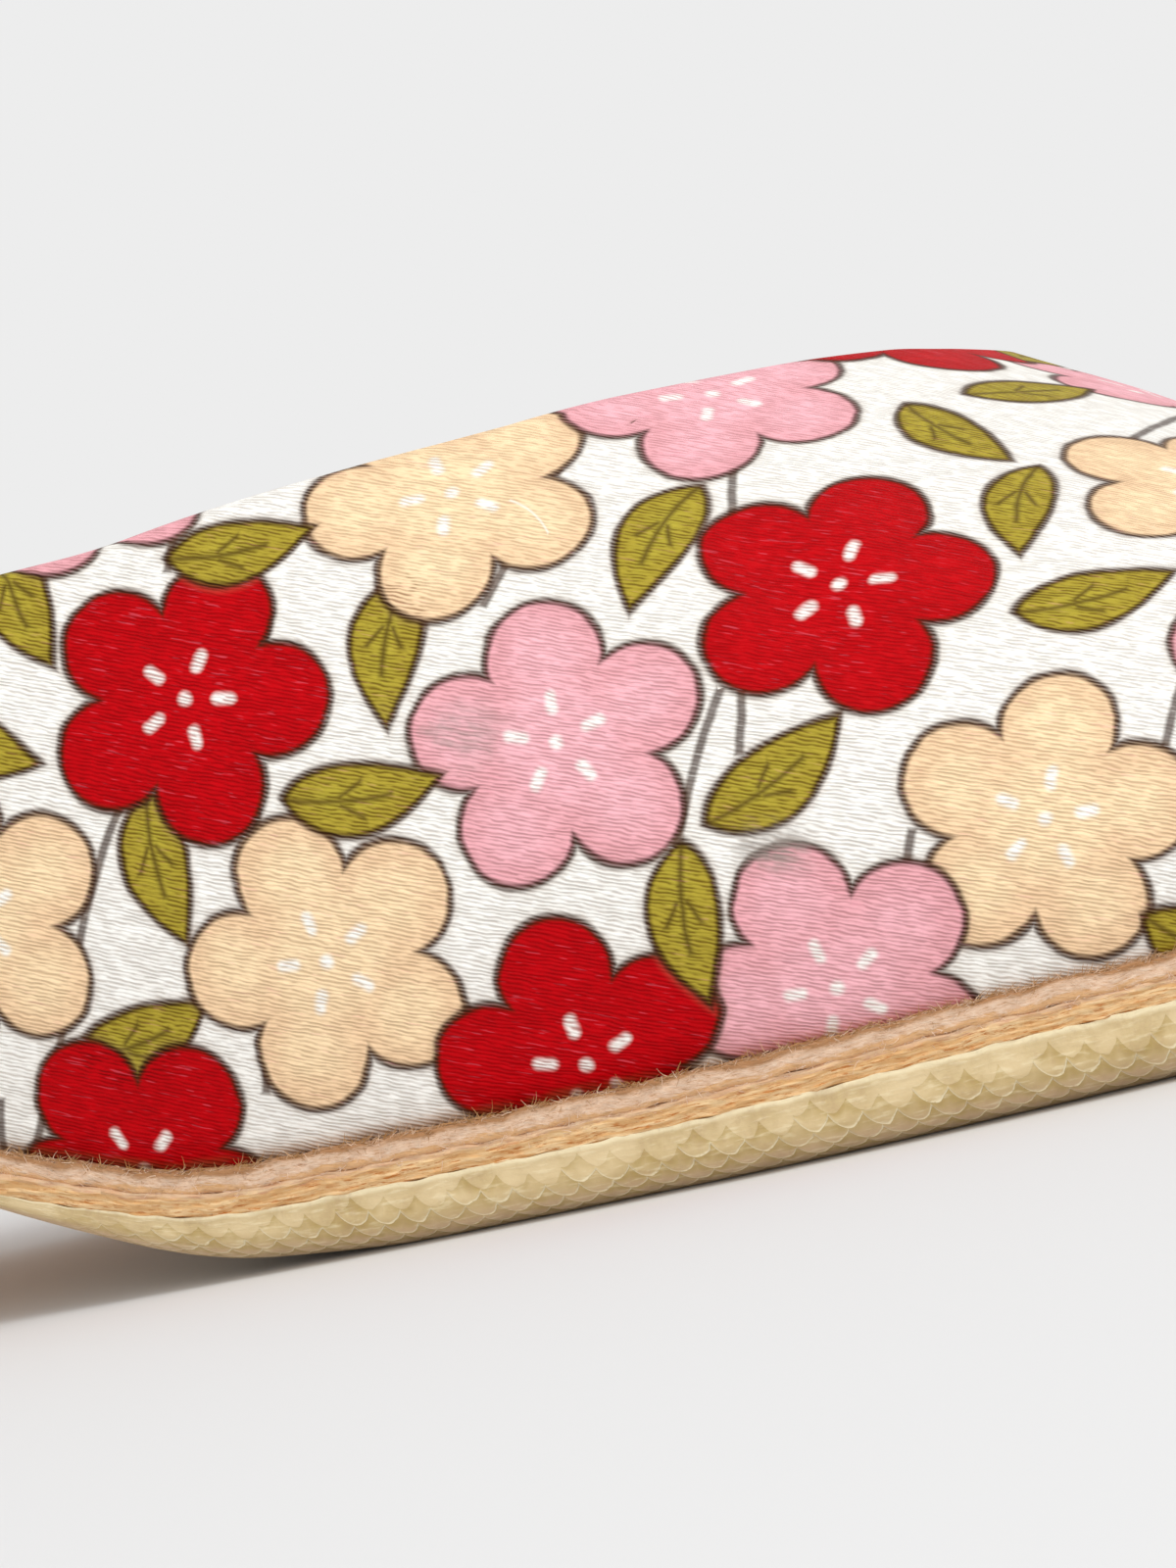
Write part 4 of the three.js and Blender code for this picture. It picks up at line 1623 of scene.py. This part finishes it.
@dataclass
class Sling:
    """Satin-covered band from the outer wing round the ankle to the inner wing."""

    last: LastForm
    chart: FloralChart
    width: float = 9.0
    thickness: float = 1.8
    lap: float = 21.0
    back_inset: float = 6.0
    foot_over: float = 9.7
    top_over: float = 51.5
    half_breadth: float = 24.0
    clearance: float = 1.0
    columns: int = 420
    ring: int = 28
    squareness: float = 0.32
    seam_place: float = 0.72
    seam_width: float = 0.1
    seam_press: float = 0.16
    face_gap: float = 4.0
    wall_samples: int = 4001
    wall_rows: tuple[tuple[float, float], ...] = (
        (0, 0), (0.09, 0.083), (0.18, 0.166), (0.27, 0.248))
    free_rows: tuple[tuple[float, float, float], ...] = (
        (0.42, 0.99, 0.4), (0.58, 1.0, 0.56), (0.72, 0.97, 0.71), (0.84, 0.8, 0.84),
        (0.93, 0.54, 0.94), (0.985, 0.26, 0.99))

    def wing_inside(self, x: float, z: float, side: Side, clear: float) -> Point:
        """Place inside the wing's wall.

        Args:
            x: Place along the shoe.
            z: Height over the floor.
            side: Side of the shoe.
            clear: Distance inward from the last.

        Returns:
            The point.
        """
        ups = np.linspace(0, 1, self.wall_samples)
        wall = self.last.point(np.full_like(ups, x), side * (1 - ups))
        y = float(np.interp(z, wall[:, 2], wall[:, 1]))
        return x, y - side * clear, z

    @cached_property
    def path(self) -> SmoothPath:
        """Middle line of the sling.

        Returns:
            The path, from the outer wing to the inner.
        """
        start = self.last.wing_end_share * self.last.heel_reach + self.lap
        back = self.back_inset - self.last.heel_reach
        foot = float(self.last.feather_z(start)) + self.foot_over
        climb = float(self.last.feather_z(-self.last.heel_reach)) + self.top_over - foot
        clear = self.last.wall + self.clearance + self.thickness / 2

        def half(side: Side) -> list[Point]:
            """Points from one wing to beside the heel.

            Args:
                side: Side of the shoe.

            Returns:
                The points.
            """
            held = [self.wing_inside(start + run * (back - start), foot + rise * climb, side, clear)
                    for run, rise in self.wall_rows]
            free = [(start + run * (back - start), side * out * self.half_breadth,
                     foot + rise * climb) for run, out, rise in self.free_rows]
            return held + free

        middle = [(back, 0.0, foot + climb)]
        return SmoothPath(np.array(half(Side.OUTER) + middle + half(Side.INNER)[::-1]))

    def build(self, satin: Material) -> None:
        """Makes the band, its long edges rounded and pressed in along the seams.

        Args:
            satin: Its finish.
        """
        place, along, lengths = self.path.at(np.linspace(0, 1, self.columns + 1))
        outward = unit(np.cross(along, (0, 0, 1.0)))
        across = np.cross(outward, along)
        angle = np.arange(self.ring + 1) * math.tau / self.ring
        bend = self.squareness
        wide = np.sign(np.sin(angle)) * np.abs(np.sin(angle)) ** bend
        thick = np.sign(np.cos(angle)) * np.abs(np.cos(angle)) ** bend
        near_seam = np.exp(-((np.abs(wide) - self.seam_place) / self.seam_width) ** 2)
        sewn = 1 - self.seam_press * near_seam
        offset_out = thick * sewn * self.thickness / 2
        offset_up = wide * self.width / 2
        rings = (place[:, None] + outward[:, None] * offset_out[None, :, None]
                 + across[:, None] * offset_up[None, :, None])
        girth = np.where(np.cos(angle) >= 0, 1, -1) * self.face_gap + offset_up
        cloth = np.stack(np.broadcast_arrays(
            lengths[:, None], girth[None, :] + CLEAN_HEM, CLEAN_HEM), -1)
        sheet = placed_grid(self.columns, self.ring, lambda i, j: (rings[i, j], cloth[i, j]))
        piece = finished("printed_sling", sheet)
        self.chart.lay(piece.data)
        settle(piece, satin, "strap_satin", "sling_strap")


def toe_build(x: Array, gain: float = 0.6, start: float = -4.0, end: float = 24.0) -> Array:
    """Height that the layers of the sole gain from the ball towards the toe."""
    return gain * smoothstep(x, start, end)


def square_edge(thickness: float, rows: int, corner: float) -> Array:
    """Profile of a straight edge with small rounded corners, from the top down.

    Args:
        thickness: Height of the edge.
        rows: Faces down it.
        corner: Radius of its corners.

    Returns:
        Distance inward and height, row by row.
    """
    up = np.linspace(thickness, 0, rows + 1)
    near = np.minimum(up, thickness - up)
    short = np.clip(1 - near / corner, 0, 1)
    return np.stack((corner * (1 - np.sqrt(1 - short ** 2)), up), -1)


def rounded_tread_edge(thickness: float, edge_round: float, rows: int,
                       straight_share: float = 0.38) -> Array:
    """Profile of the half sole's edge: straight above, an ellipse below, from the top down.

    Args:
        thickness: Height of the edge.
        edge_round: Reach of the ellipse inward.
        rows: Faces down it, evenly spaced.
        straight_share: Share of the height that is straight.

    Returns:
        Distance inward and height, row by row.
    """
    samples = 400
    arc = np.linspace(math.pi / 2, 0, samples)
    inward = edge_round * (1 - np.sin(arc))
    up = thickness * (1 - straight_share) * (1 - np.cos(arc))
    profile = np.concatenate(([(0.0, thickness)], np.stack((inward, up), -1)))
    lengths = run_lengths(profile, 0)
    even = np.linspace(0, lengths[-1], rows + 1)
    return np.stack([np.interp(even, lengths, profile[:, k]) for k in range(2)], -1)


@dataclass
class SoleLayer:
    """A layer of the sole that follows the feather line, with a shaped edge."""

    last: LastForm
    name: str = "sole_layer"
    bottom_level: float = 0.0
    thickness: float = 1.0
    corner: float = 0.12
    edge_faces: int = 9
    columns: int = 600
    across: int = 6
    margin: float = 0.7
    outward: tuple[Ripple, ...] = ()
    upward: tuple[Ripple, ...] = ()

    @property
    def rear(self) -> float:
        """Where the layer starts behind."""
        return -self.last.heel_reach

    @property
    def profile(self) -> Array:
        """Distance inward and height of the edge, from its top down."""
        return square_edge(self.thickness, self.edge_faces, self.corner)

    def grow(self, x: Array) -> Array:
        """Margin over the feather outline."""
        return np.full_like(x, self.margin)

    def levels(self, x: Array) -> tuple[Array, Array]:
        """Bottom and top of the layer."""
        bottom = self.bottom_level + self.last.feather_rise(x) + toe_build(x)
        return bottom, bottom + self.thickness

    def relief(self, along: Array, down: Array) -> tuple[Array, Array, Array]:
        """Uneven cut edge.

        Args:
            along: Millimetres along the edge.
            down: Millimetres down its profile.

        Returns:
            Relief outward, relief upward, and a signal for the finish.
        """
        out = sum((wave(along, down) for wave in self.outward), np.zeros_like(along))
        lift = sum((wave(along, down) for wave in self.upward), np.zeros_like(along))
        return out, lift, down

    def edge_rows(self, run: Array, side: Side) -> tuple[Array, Array]:
        """Points and finish places of one side's edge, from its top to its bottom.

        Args:
            run: Even steps from heel to toe.
            side: Side of the shoe.

        Returns:
            Both, by step and down the edge.
        """
        profile = self.profile
        inward, up = profile[:, 0], profile[:, 1]
        down = run_lengths(profile, 0)
        plain_x = self.last.rounded_place(run)
        plain = np.stack((plain_x, self.last.outline_y(plain_x, side)), -1)
        along = run_lengths(plain, 0)
        along = along - np.interp(0.0, plain_x, along)
        along_grid, down_grid = np.broadcast_arrays(along[:, None], down[None, :])
        out, lift, mark = self.relief(along_grid, down_grid)
        bottom, top = self.levels(plain_x)
        shrink = inward[None, :] * (top - bottom)[:, None] / self.thickness
        margin = self.grow(plain_x)[:, None] - shrink + out
        x = self.last.rounded_place(np.broadcast_to(run[:, None], margin.shape), margin)
        y = self.last.outline_y(x, side, margin)
        bottom_at, top_at = self.levels(x)
        z = bottom_at + up[None, :] / self.thickness * (top_at - bottom_at) + lift
        return np.stack((x, y, z), -1), np.stack((along_grid, down_grid, mark), -1)

    def build(self) -> bpy.types.Object:
        """Makes the layer: both edges, and flats between them above and below.

        Returns:
            The layer, not yet dressed.
        """
        run = np.linspace(self.rear, self.last.toe_reach, self.columns + 1)
        outer, outer_cloth = self.edge_rows(run, Side.OUTER)
        inner, inner_cloth = self.edge_rows(run, Side.INNER)
        shares = (np.arange(1, self.across) / self.across)[None, :, None]

        def span(first: Array, second: Array) -> Array:
            """Rows between two edges."""
            return first[:, None] * (1 - shares) + second[:, None] * shares

        rings = np.concatenate((
            outer, span(outer[:, -1], inner[:, -1]), inner[:, ::-1],
            span(inner[:, 0], outer[:, 0]), outer[:, :1]), 1)
        cloth = np.concatenate((
            outer_cloth, span(outer_cloth[:, -1], inner_cloth[:, -1]), inner_cloth[:, ::-1],
            span(inner_cloth[:, 0], outer_cloth[:, 0]), outer_cloth[:, :1]), 1)
        sheet = placed_grid(
            self.columns, rings.shape[1] - 1, lambda i, j: (rings[i, j], cloth[i, j]))
        return finished(self.name, sheet)


@dataclass
class FibreMidsole(SoleLayer):
    """Fibre board between the upper and the leather sole."""

    name: str = "fibre_midsole"
    bottom_level: float = 4.4
    thickness: float = 1.2
    columns: int = 700
    breast: float = -104.0
    outward: tuple[Ripple, ...] = (
        Ripple(0.11, (3.1, 1.7, 0.9), 11, 2.0), Ripple(0.05, (0.62, 0.45), 12, -3.0))
    upward: tuple[Ripple, ...] = (Ripple(0.09, (6.3, 3.4, 2.2), 13),)

    def grow(self, x: Array) -> Array:
        """Margin over the feather outline, which dies out towards the seat."""
        return self.margin * smoothstep(x, self.breast, 0.0)

    def relief(self, along: Array, down: Array) -> tuple[Array, Array, Array]:
        """Uneven cut edge; the finish is told the share of the way up."""
        out, lift, _ = super().relief(along, down)
        return out, lift, 1 - down / self.thickness


@dataclass
class LeatherSole(SoleLayer):
    """Leather sole from the heel's breast to the toe, its edge layered and frayed."""

    name: str = "leather_outsole"
    bottom_level: float = 3.2
    thickness: float = 1.25
    breast: float = -103.75
    outward: tuple[Ripple, ...] = (
        Ripple(0.12, (29 / 6, 13 / 6), 21, 7.5), Ripple(0.1, (4.7, 2.3, 1.1), 22))
    upward: tuple[Ripple, ...] = (Ripple(0.08, (7.1, 3.9, 2.4), 23),)

    @property
    def rear(self) -> float:
        """Where the layer starts, at the heel's breast."""
        return self.breast


@dataclass
class HalfSole(SoleLayer):
    """Rubber half sole with a rounded, slightly uneven edge."""

    name: str = "rubber_half_sole"
    thickness: float = 3.3
    edge_round: float = 3.4
    edge_faces: int = 28
    columns: int = 520
    bead: float = 0.07
    bead_place: float = 0.12
    bead_width: float = 0.16
    lift_reach: float = 0.8
    outward: tuple[Ripple, ...] = (
        Ripple(0.07, (6.1, 4.3, 2.9), 32, 1.0), Ripple(0.02, (1.9, 1.3), 34))
    upward: tuple[Ripple, ...] = (Ripple(0.08, (6.7, 3.1, 1.9), 33),)
    flat_end: float = -13.0
    tread_end: float = -36.0
    end_thickness: float = 0.6
    skive: float = 1.3

    @property
    def rear(self) -> float:
        """Where the layer starts, behind the ball."""
        return self.tread_end

    @property
    def profile(self) -> Array:
        """Distance inward and height of the edge, from its top down."""
        return rounded_tread_edge(self.thickness, self.edge_round, self.edge_faces)

    def levels(self, x: Array) -> tuple[Array, Array]:
        """Bottom and top of the layer, skived towards its rear edge.

        Args:
            x: Places along the shoe.

        Returns:
            Both heights.
        """
        part = np.clip((x - self.flat_end) / (self.tread_end - self.flat_end), 0, 1)
        depth = self.thickness - (self.thickness - self.end_thickness) * part ** self.skive
        rise = self.last.feather_rise(x)
        return self.thickness + rise - depth, self.thickness + rise + toe_build(x)

    def relief(self, along: Array, down: Array) -> tuple[Array, Array, Array]:
        """Uneven edge with a thin bead along its top.

        Args:
            along: Millimetres along the edge.
            down: Millimetres down its profile.

        Returns:
            Relief outward, relief upward, and a signal for the finish.
        """
        out, lift, _ = super().relief(along, down)
        bead = self.bead * np.exp(-((down - self.bead_place) / self.bead_width) ** 2)
        fade = smoothstep(along, self.tread_end + 2, self.flat_end - 4)
        return (out + bead) * np.maximum(fade, 0.25), lift * np.exp(-down / self.lift_reach), down


@dataclass
class SockInsole(SoleLayer):
    """Insole with a leather sock, inside the wall and out to the edge of the seat."""

    name: str = "leather_sock"
    thickness: float = 2.0
    corner: float = 0.6
    edge_faces: int = 8
    columns: int = 240
    across: int = 12
    inside: float = 2.1
    wing_end: float = -93.0
    blend: float = 12.0

    def grow(self, x: Array) -> Array:
        """Margin inside the upper, none behind the wings."""
        return -self.inside * smoothstep(x, self.wing_end - self.blend, self.wing_end)

    def levels(self, x: Array) -> tuple[Array, Array]:
        """Bottom and top of the layer."""
        level = self.last.feather_z(x)
        return level, level + self.thickness


@dataclass
class CoveredHeel:
    """Slim heel covered in the printed satin."""

    last: LastForm
    chart: FloralChart
    seat_length: float = 48.0
    inset: float = 0.6
    lift_length: float = 19.0
    lift_width: float = 17.0
    lift_back_inset: float = 7.5
    foot: float = 4.0
    top_level: float = 4.4
    levels: int = 70
    side_span: int = 5
    around_span: int = 26
    columns_a_place: int = 7
    print_start: tuple[float, float] = (47.0, 70.0)
    slim: SmoothTable = SmoothTable(
        (0, 0.2, 0.4, 0.56, 0.7, 0.82, 0.91, 0.97, 1),
        (1, 0.985, 0.935, 0.85, 0.71, 0.51, 0.29, 0.09, 0))

    def seat(self, place: Array) -> Array:
        """Outline under the midsole, from breast to breast and then across.

        Args:
            place: Places round the heel.

        Returns:
            Points in plan.
        """
        back_place = self.around_span / 2
        mirrored = np.where(place > back_place, self.around_span - place, place)
        mirrored = np.maximum(mirrored, 0)
        breast = self.seat_length - self.last.heel_reach
        side_end = self.last.heel_round - self.last.heel_reach
        turn = (mirrored - self.side_span) / (back_place - self.side_span)
        angle = np.clip(turn, 0, 1) * math.pi / 2
        back = -self.last.heel_reach + self.inset
        back = back + (self.last.heel_round - self.inset) * (1 - np.sin(angle))
        beside = breast + (side_end - breast) * mirrored / self.side_span
        x = np.where(mirrored < self.side_span, beside, back)
        side = np.where(place > back_place, Side.OUTER, Side.INNER)
        y = self.last.outline_y(x, side, -self.inset)
        closing = np.clip(place - self.around_span, 0, 1)
        y = y + closing * (self.last.outline_y(breast, Side.INNER, -self.inset) - y)
        return np.stack((x, y), -1)

    def lift(self, place: Array) -> Array:
        """Outline of the top lift at the same places.

        Args:
            place: Places round the heel.

        Returns:
            Points in plan.
        """
        half = self.lift_width / 2
        back = self.lift_back_inset - self.last.heel_reach
        front = back + self.lift_length
        round_start = back + half
        span, far = self.side_span, self.around_span - self.side_span
        angle = np.clip((place - span) / (far - span), 0, 1) * math.pi
        side_share = np.where(place < span, place, np.clip(self.around_span - place, 0, span)) / span
        on_side = (place < span) | (place > far)
        x = np.where(on_side, front + (round_start - front) * side_share,
                     round_start - half * np.sin(angle))
        y = np.where(place < span, half, np.where(place > far, -half, half * np.cos(angle)))
        closing = np.clip(place - self.around_span, 0, 1)
        return np.stack((x, y + closing * 2 * half), -1)

    def build(self, satin: Material) -> None:
        """Makes the heel.

        Args:
            satin: Its finish.
        """
        columns = (self.around_span + 1) * self.columns_a_place
        place = np.linspace(0, self.around_span + 1, columns + 1)
        up = np.linspace(0, 1, self.levels + 1)
        slim = self.slim(up)[:, None, None]
        seat, lift = self.seat(place), self.lift(place)
        plan = seat[None] * (1 - slim) + lift[None] * slim
        top = self.top_level + self.last.feather_rise(seat[:, 0])
        z = self.foot + (top - self.foot)[None, :] * up[:, None]
        rings = np.concatenate((plan, z[..., None]), -1)
        around = run_lengths(rings, 1)
        around = around - around[:, [self.around_span * self.columns_a_place // 2]]
        start, top_place = self.print_start
        cloth = np.stack(np.broadcast_arrays(
            around + start, top_place - run_lengths(rings, 0), CLEAN_HEM), -1)
        sheet = placed_grid(self.levels, columns, lambda i, j: (rings[i, j], cloth[i, j]))
        piece = finished("covered_heel", sheet, sharp=40)
        self.chart.lay(piece.data)
        settle(piece, satin, "heel_satin", "heel")


@dataclass
class TopLift:
    """Small rubber block that the heel stands on."""

    heel: CoveredHeel
    thickness: float = 4.0
    bevel: float = 0.5
    outline_points: int = 108

    def build(self, rubber: Material) -> None:
        """Makes the block from its outline, extruded, with rounded rims.

        Args:
            rubber: Its finish.
        """
        block = bmesh.new()
        block.verts.layers.float_vector.new("cloth")
        outline = self.heel.lift(np.linspace(0, self.heel.around_span, self.outline_points))
        base = block.faces.new([block.verts.new((x * MM, y * MM, 0)) for x, y in outline])
        raised = bmesh.ops.extrude_face_region(block, geom=[base])["geom"]
        top = [item for item in raised if isinstance(item, bmesh.types.BMVert)]
        bmesh.ops.translate(block, verts=top, vec=(0, 0, self.thickness * MM))
        rims = [edge for edge in block.edges
                if abs(edge.verts[0].co.z - edge.verts[1].co.z) < 1e-9]
        bmesh.ops.bevel(block, geom=rims, offset=self.bevel * MM, segments=3, profile=0.5,
                        affect="EDGES", material=-1)
        settle(finished("top_lift_block", block), rubber, "lift_rubber", "top_lift")


@dataclass
class EdgeFuzz:
    """Loose fibres of the cut edge; swing, tilt and curl are a mean and its spread."""

    last: LastForm
    board: FibreMidsole
    count: int = 5200
    rings: int = 4
    radius: float = 0.026
    taper: float = 0.7
    crowded: float = 0.6
    near_run: tuple[float, float] = (-34.0, 40.0)
    whole_run: tuple[float, float] = (-90.0, 84.0)
    length: tuple[float, float] = (0.2, 0.7)
    amber_share: float = 0.55
    amber_drop: tuple[float, float] = (0.0, 0.35)
    pale_drop: tuple[float, float] = (0.1, 1.7)
    swing: tuple[float, float] = (0.8, 0.7)
    tilt: tuple[float, float] = (0.1, 0.3)
    lean: tuple[float, float] = (0.02, 0.16)
    curl: tuple[float, float] = (0.0, 0.3)
    hem_over: float = 0.12
    sunk: float = 0.08
    seed: int = 7

    def roots(self, draw: np.random.Generator) -> tuple[Array, Array, Array, Array]:
        """Where the fibres start, crowded along the outer side's forepart.

        Args:
            draw: Source of the random numbers.

        Returns:
            Roots, directions along and out of the edge, and a tint for each fibre.
        """
        crowd = draw.uniform(0, 1, self.count) < self.crowded
        run = np.where(crowd, draw.uniform(*self.near_run, self.count),
                       draw.uniform(*self.whole_run, self.count))
        outer = crowd | (draw.uniform(0, 1, self.count) < 0.5)
        side = np.where(outer, Side.OUTER, Side.INNER)
        tint = draw.uniform(0, 1, self.count)
        margin = self.board.grow(self.last.rounded_place(run)) - self.sunk
        x = self.last.rounded_place(run, margin)
        y = self.last.outline_y(x, side, margin)
        ahead = self.last.rounded_place(run + 0.5, margin)
        ahead_y = self.last.outline_y(ahead, side, margin)
        level = self.last.feather_rise(x)
        drop = np.where(tint < self.amber_share, draw.uniform(*self.amber_drop, self.count),
                        draw.uniform(*self.pale_drop, self.count))
        hem = self.board.bottom_level + self.board.thickness + self.hem_over
        root = np.stack((x, y, hem - drop + level + toe_build(x)), -1)
        along = np.stack((ahead - x, ahead_y - y, self.last.feather_rise(ahead) - level), -1)
        along = unit(along)
        outward = unit(np.cross(along, (0, 0, 1.0)))
        outward *= np.sign(outward[:, 1] * side)[:, None]
        return root, along, outward, tint

    def tubes(self, draw: np.random.Generator, root: Array, along: Array,
              outward: Array) -> Array:
        """Bent, tapered tubes of three sides.

        Args:
            draw: Source of the random numbers.
            root: Where each fibre starts.
            along: Direction along the edge there.
            outward: Direction out of the edge there.

        Returns:
            Points by ring, four to a ring, of which the last is the first again.
        """
        length = draw.uniform(*self.length, self.count)
        swing = draw.normal(*self.swing, self.count)
        tilt = draw.normal(*self.tilt, self.count)
        lean = draw.uniform(*self.lean, self.count)
        way = unit(along * swing[:, None] + outward * lean[:, None]
                   + np.array((0, 0, 1.0)) * tilt[:, None])
        curl = unit(np.cross(way, outward)) * draw.normal(*self.curl, self.count)[:, None]
        t = np.linspace(0, 1, self.rings)
        spine = (root[:, None] + way[:, None] * (length[:, None] * t)[..., None]
                 + curl[:, None] * (length[:, None] * t ** 2)[..., None])
        across = unit(np.cross(way, outward))
        other = np.cross(way, across)
        angle = np.arange(4) * math.tau / 3
        spoke = (across[:, None, None] * np.cos(angle)[:, None]
                 + other[:, None, None] * np.sin(angle)[:, None])
        radius = self.radius * (1 - self.taper * t)
        return (spine[:, :, None] + spoke * radius[:, None, None]).reshape(-1, 4, 3)

    def build(self, fibre: Material) -> None:
        """Makes all the fibres as one mesh, cut from one grid.

        Args:
            fibre: Their finish.
        """
        draw = np.random.default_rng(self.seed)
        root, along, outward, tint = self.roots(draw)
        tubes = self.tubes(draw, root, along, outward)
        tints = np.repeat(tint, self.rings)[:, None] * (1.0, 0.0, 0.0)
        sheet = placed_grid(3, len(tubes) - 1, lambda i, j: (tubes[j, i], tints[j]))
        between = [face for face in sheet.faces
                   if min(vert.index for vert in face.verts) // 4 % self.rings == self.rings - 1]
        bmesh.ops.delete(sheet, geom=between, context="FACES")
        settle(finished("edge_fuzz", sheet, merge=1e-5), fibre, "fibre_edge")


# Studio


@dataclass
class Studio:
    """Pale floor, soft lights and the camera at the photograph's angle."""

    aim: Point = (1.2, -38.0, 20.44)
    distance: float = 300.0
    azimuth: float = math.radians(9)
    elevation: float = math.radians(1.2)
    roll: float = math.radians(12.8)
    frame_height: float = 76.2
    sensor: float = 36.0
    floor_reach: float = 1.6
    pale: Colour = ink(237, 237, 237)
    floor: Colour = ink(215, 215, 215)
    boxes: tuple[tuple[str, Point, float, float], ...] = (
        ("key", (0.4, -0.35, 0.9), 0.6, 4.5),
        ("fill", (-0.45, -0.9, 0.35), 0.9, 1.0),
        ("low", (0.15, -0.9, 0.07), 0.5, 1.5))

    def build(self) -> None:
        """Makes the stage."""
        self.ground()
        self.lights()
        self.camera()

    def ground(self) -> None:
        """Plain pale floor."""
        shader = Shader("studio_grey")
        grey = shader.finish(self.floor, 0.9, None, 0.0, Specular_IOR_Level=0.1)
        floor = bmesh.new()
        bmesh.ops.create_grid(floor, x_segments=8, y_segments=8, size=self.floor_reach)
        piece = bpy.data.objects.new("studio_floor", bpy.data.meshes.new("studio_floor"))
        floor.to_mesh(piece.data)
        floor.free()
        piece.data.materials.append(grey)
        bpy.context.scene.collection.objects.link(piece)

    def lights(self) -> None:
        """Soft boxes above and on the camera's side, and an even surround."""
        for name, place, size, power in self.boxes:
            data = bpy.data.lights.new(f"{name}_light", "AREA")
            data.size, data.energy = size, power
            light = bpy.data.objects.new(f"{name}_light", data)
            light.location = place
            light.rotation_euler = Vector(place).to_track_quat("Z", "Y").to_euler()
            bpy.context.scene.collection.objects.link(light)
        world = bpy.data.worlds.new("surround")
        world.use_nodes = True
        background = world.node_tree.nodes["Background"]
        background.inputs["Color"].default_value = self.pale
        background.inputs["Strength"].default_value = 1.0
        bpy.context.scene.world = world
        bpy.context.scene.view_settings.view_transform = "Standard"

    def camera(self) -> None:
        """Camera low beside the outer wall, rolled as the photograph is."""
        data = bpy.data.cameras.new("camera")
        data.sensor_width = self.sensor
        data.lens = self.sensor * self.distance / self.frame_height
        data.clip_start, data.clip_end = 0.01, 20
        camera = bpy.data.objects.new("camera", data)
        back = Vector((math.sin(self.azimuth) * math.cos(self.elevation),
                       -math.cos(self.azimuth) * math.cos(self.elevation),
                       math.sin(self.elevation)))
        turn = (-back).to_track_quat("-Z", "Y")
        rolled = turn.to_matrix() @ Matrix.Rotation(-self.roll, 3, "Z")
        camera.rotation_euler = rolled.to_euler()
        camera.location = (Vector(self.aim) + back * self.distance) * MM
        bpy.context.scene.collection.objects.link(camera)
        bpy.context.scene.camera = camera


def main() -> None:
    """Builds every sub-assembly in order."""
    logging.basicConfig(level=logging.INFO, format="%(message)s")
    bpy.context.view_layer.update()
    last = last_from_frame()
    chart = FloralChart()
    satin = PrintedSatin().build("printed_satin")
    lining = LiningLeather().build("lining_leather")
    fibre = FibreEdge().build("fibre_edge")
    leather = SoleLeather().build("sole_leather")
    rubber = TreadRubber().build("tread_rubber")
    lift = LiftRubber().build("lift_rubber")
    fuzz = FuzzFibre().build("fuzz_fibre")
    Studio().build()
    Upper(last, chart).build(satin, lining)
    Sling(last, chart).build(satin)
    board = FibreMidsole(last)
    settle(SockInsole(last).build(), lining, "sock_leather", "insole")
    settle(board.build(), fibre, "fibre_edge", "midsole")
    settle(LeatherSole(last).build(), leather, "sole_leather", "outsole")
    settle(HalfSole(last).build(), rubber, "tread_rubber", "half_sole")
    heel = CoveredHeel(last, chart)
    heel.build(satin)
    TopLift(heel).build(lift)
    EdgeFuzz(last, board).build(fuzz)


if __name__ == "__main__":
    main()
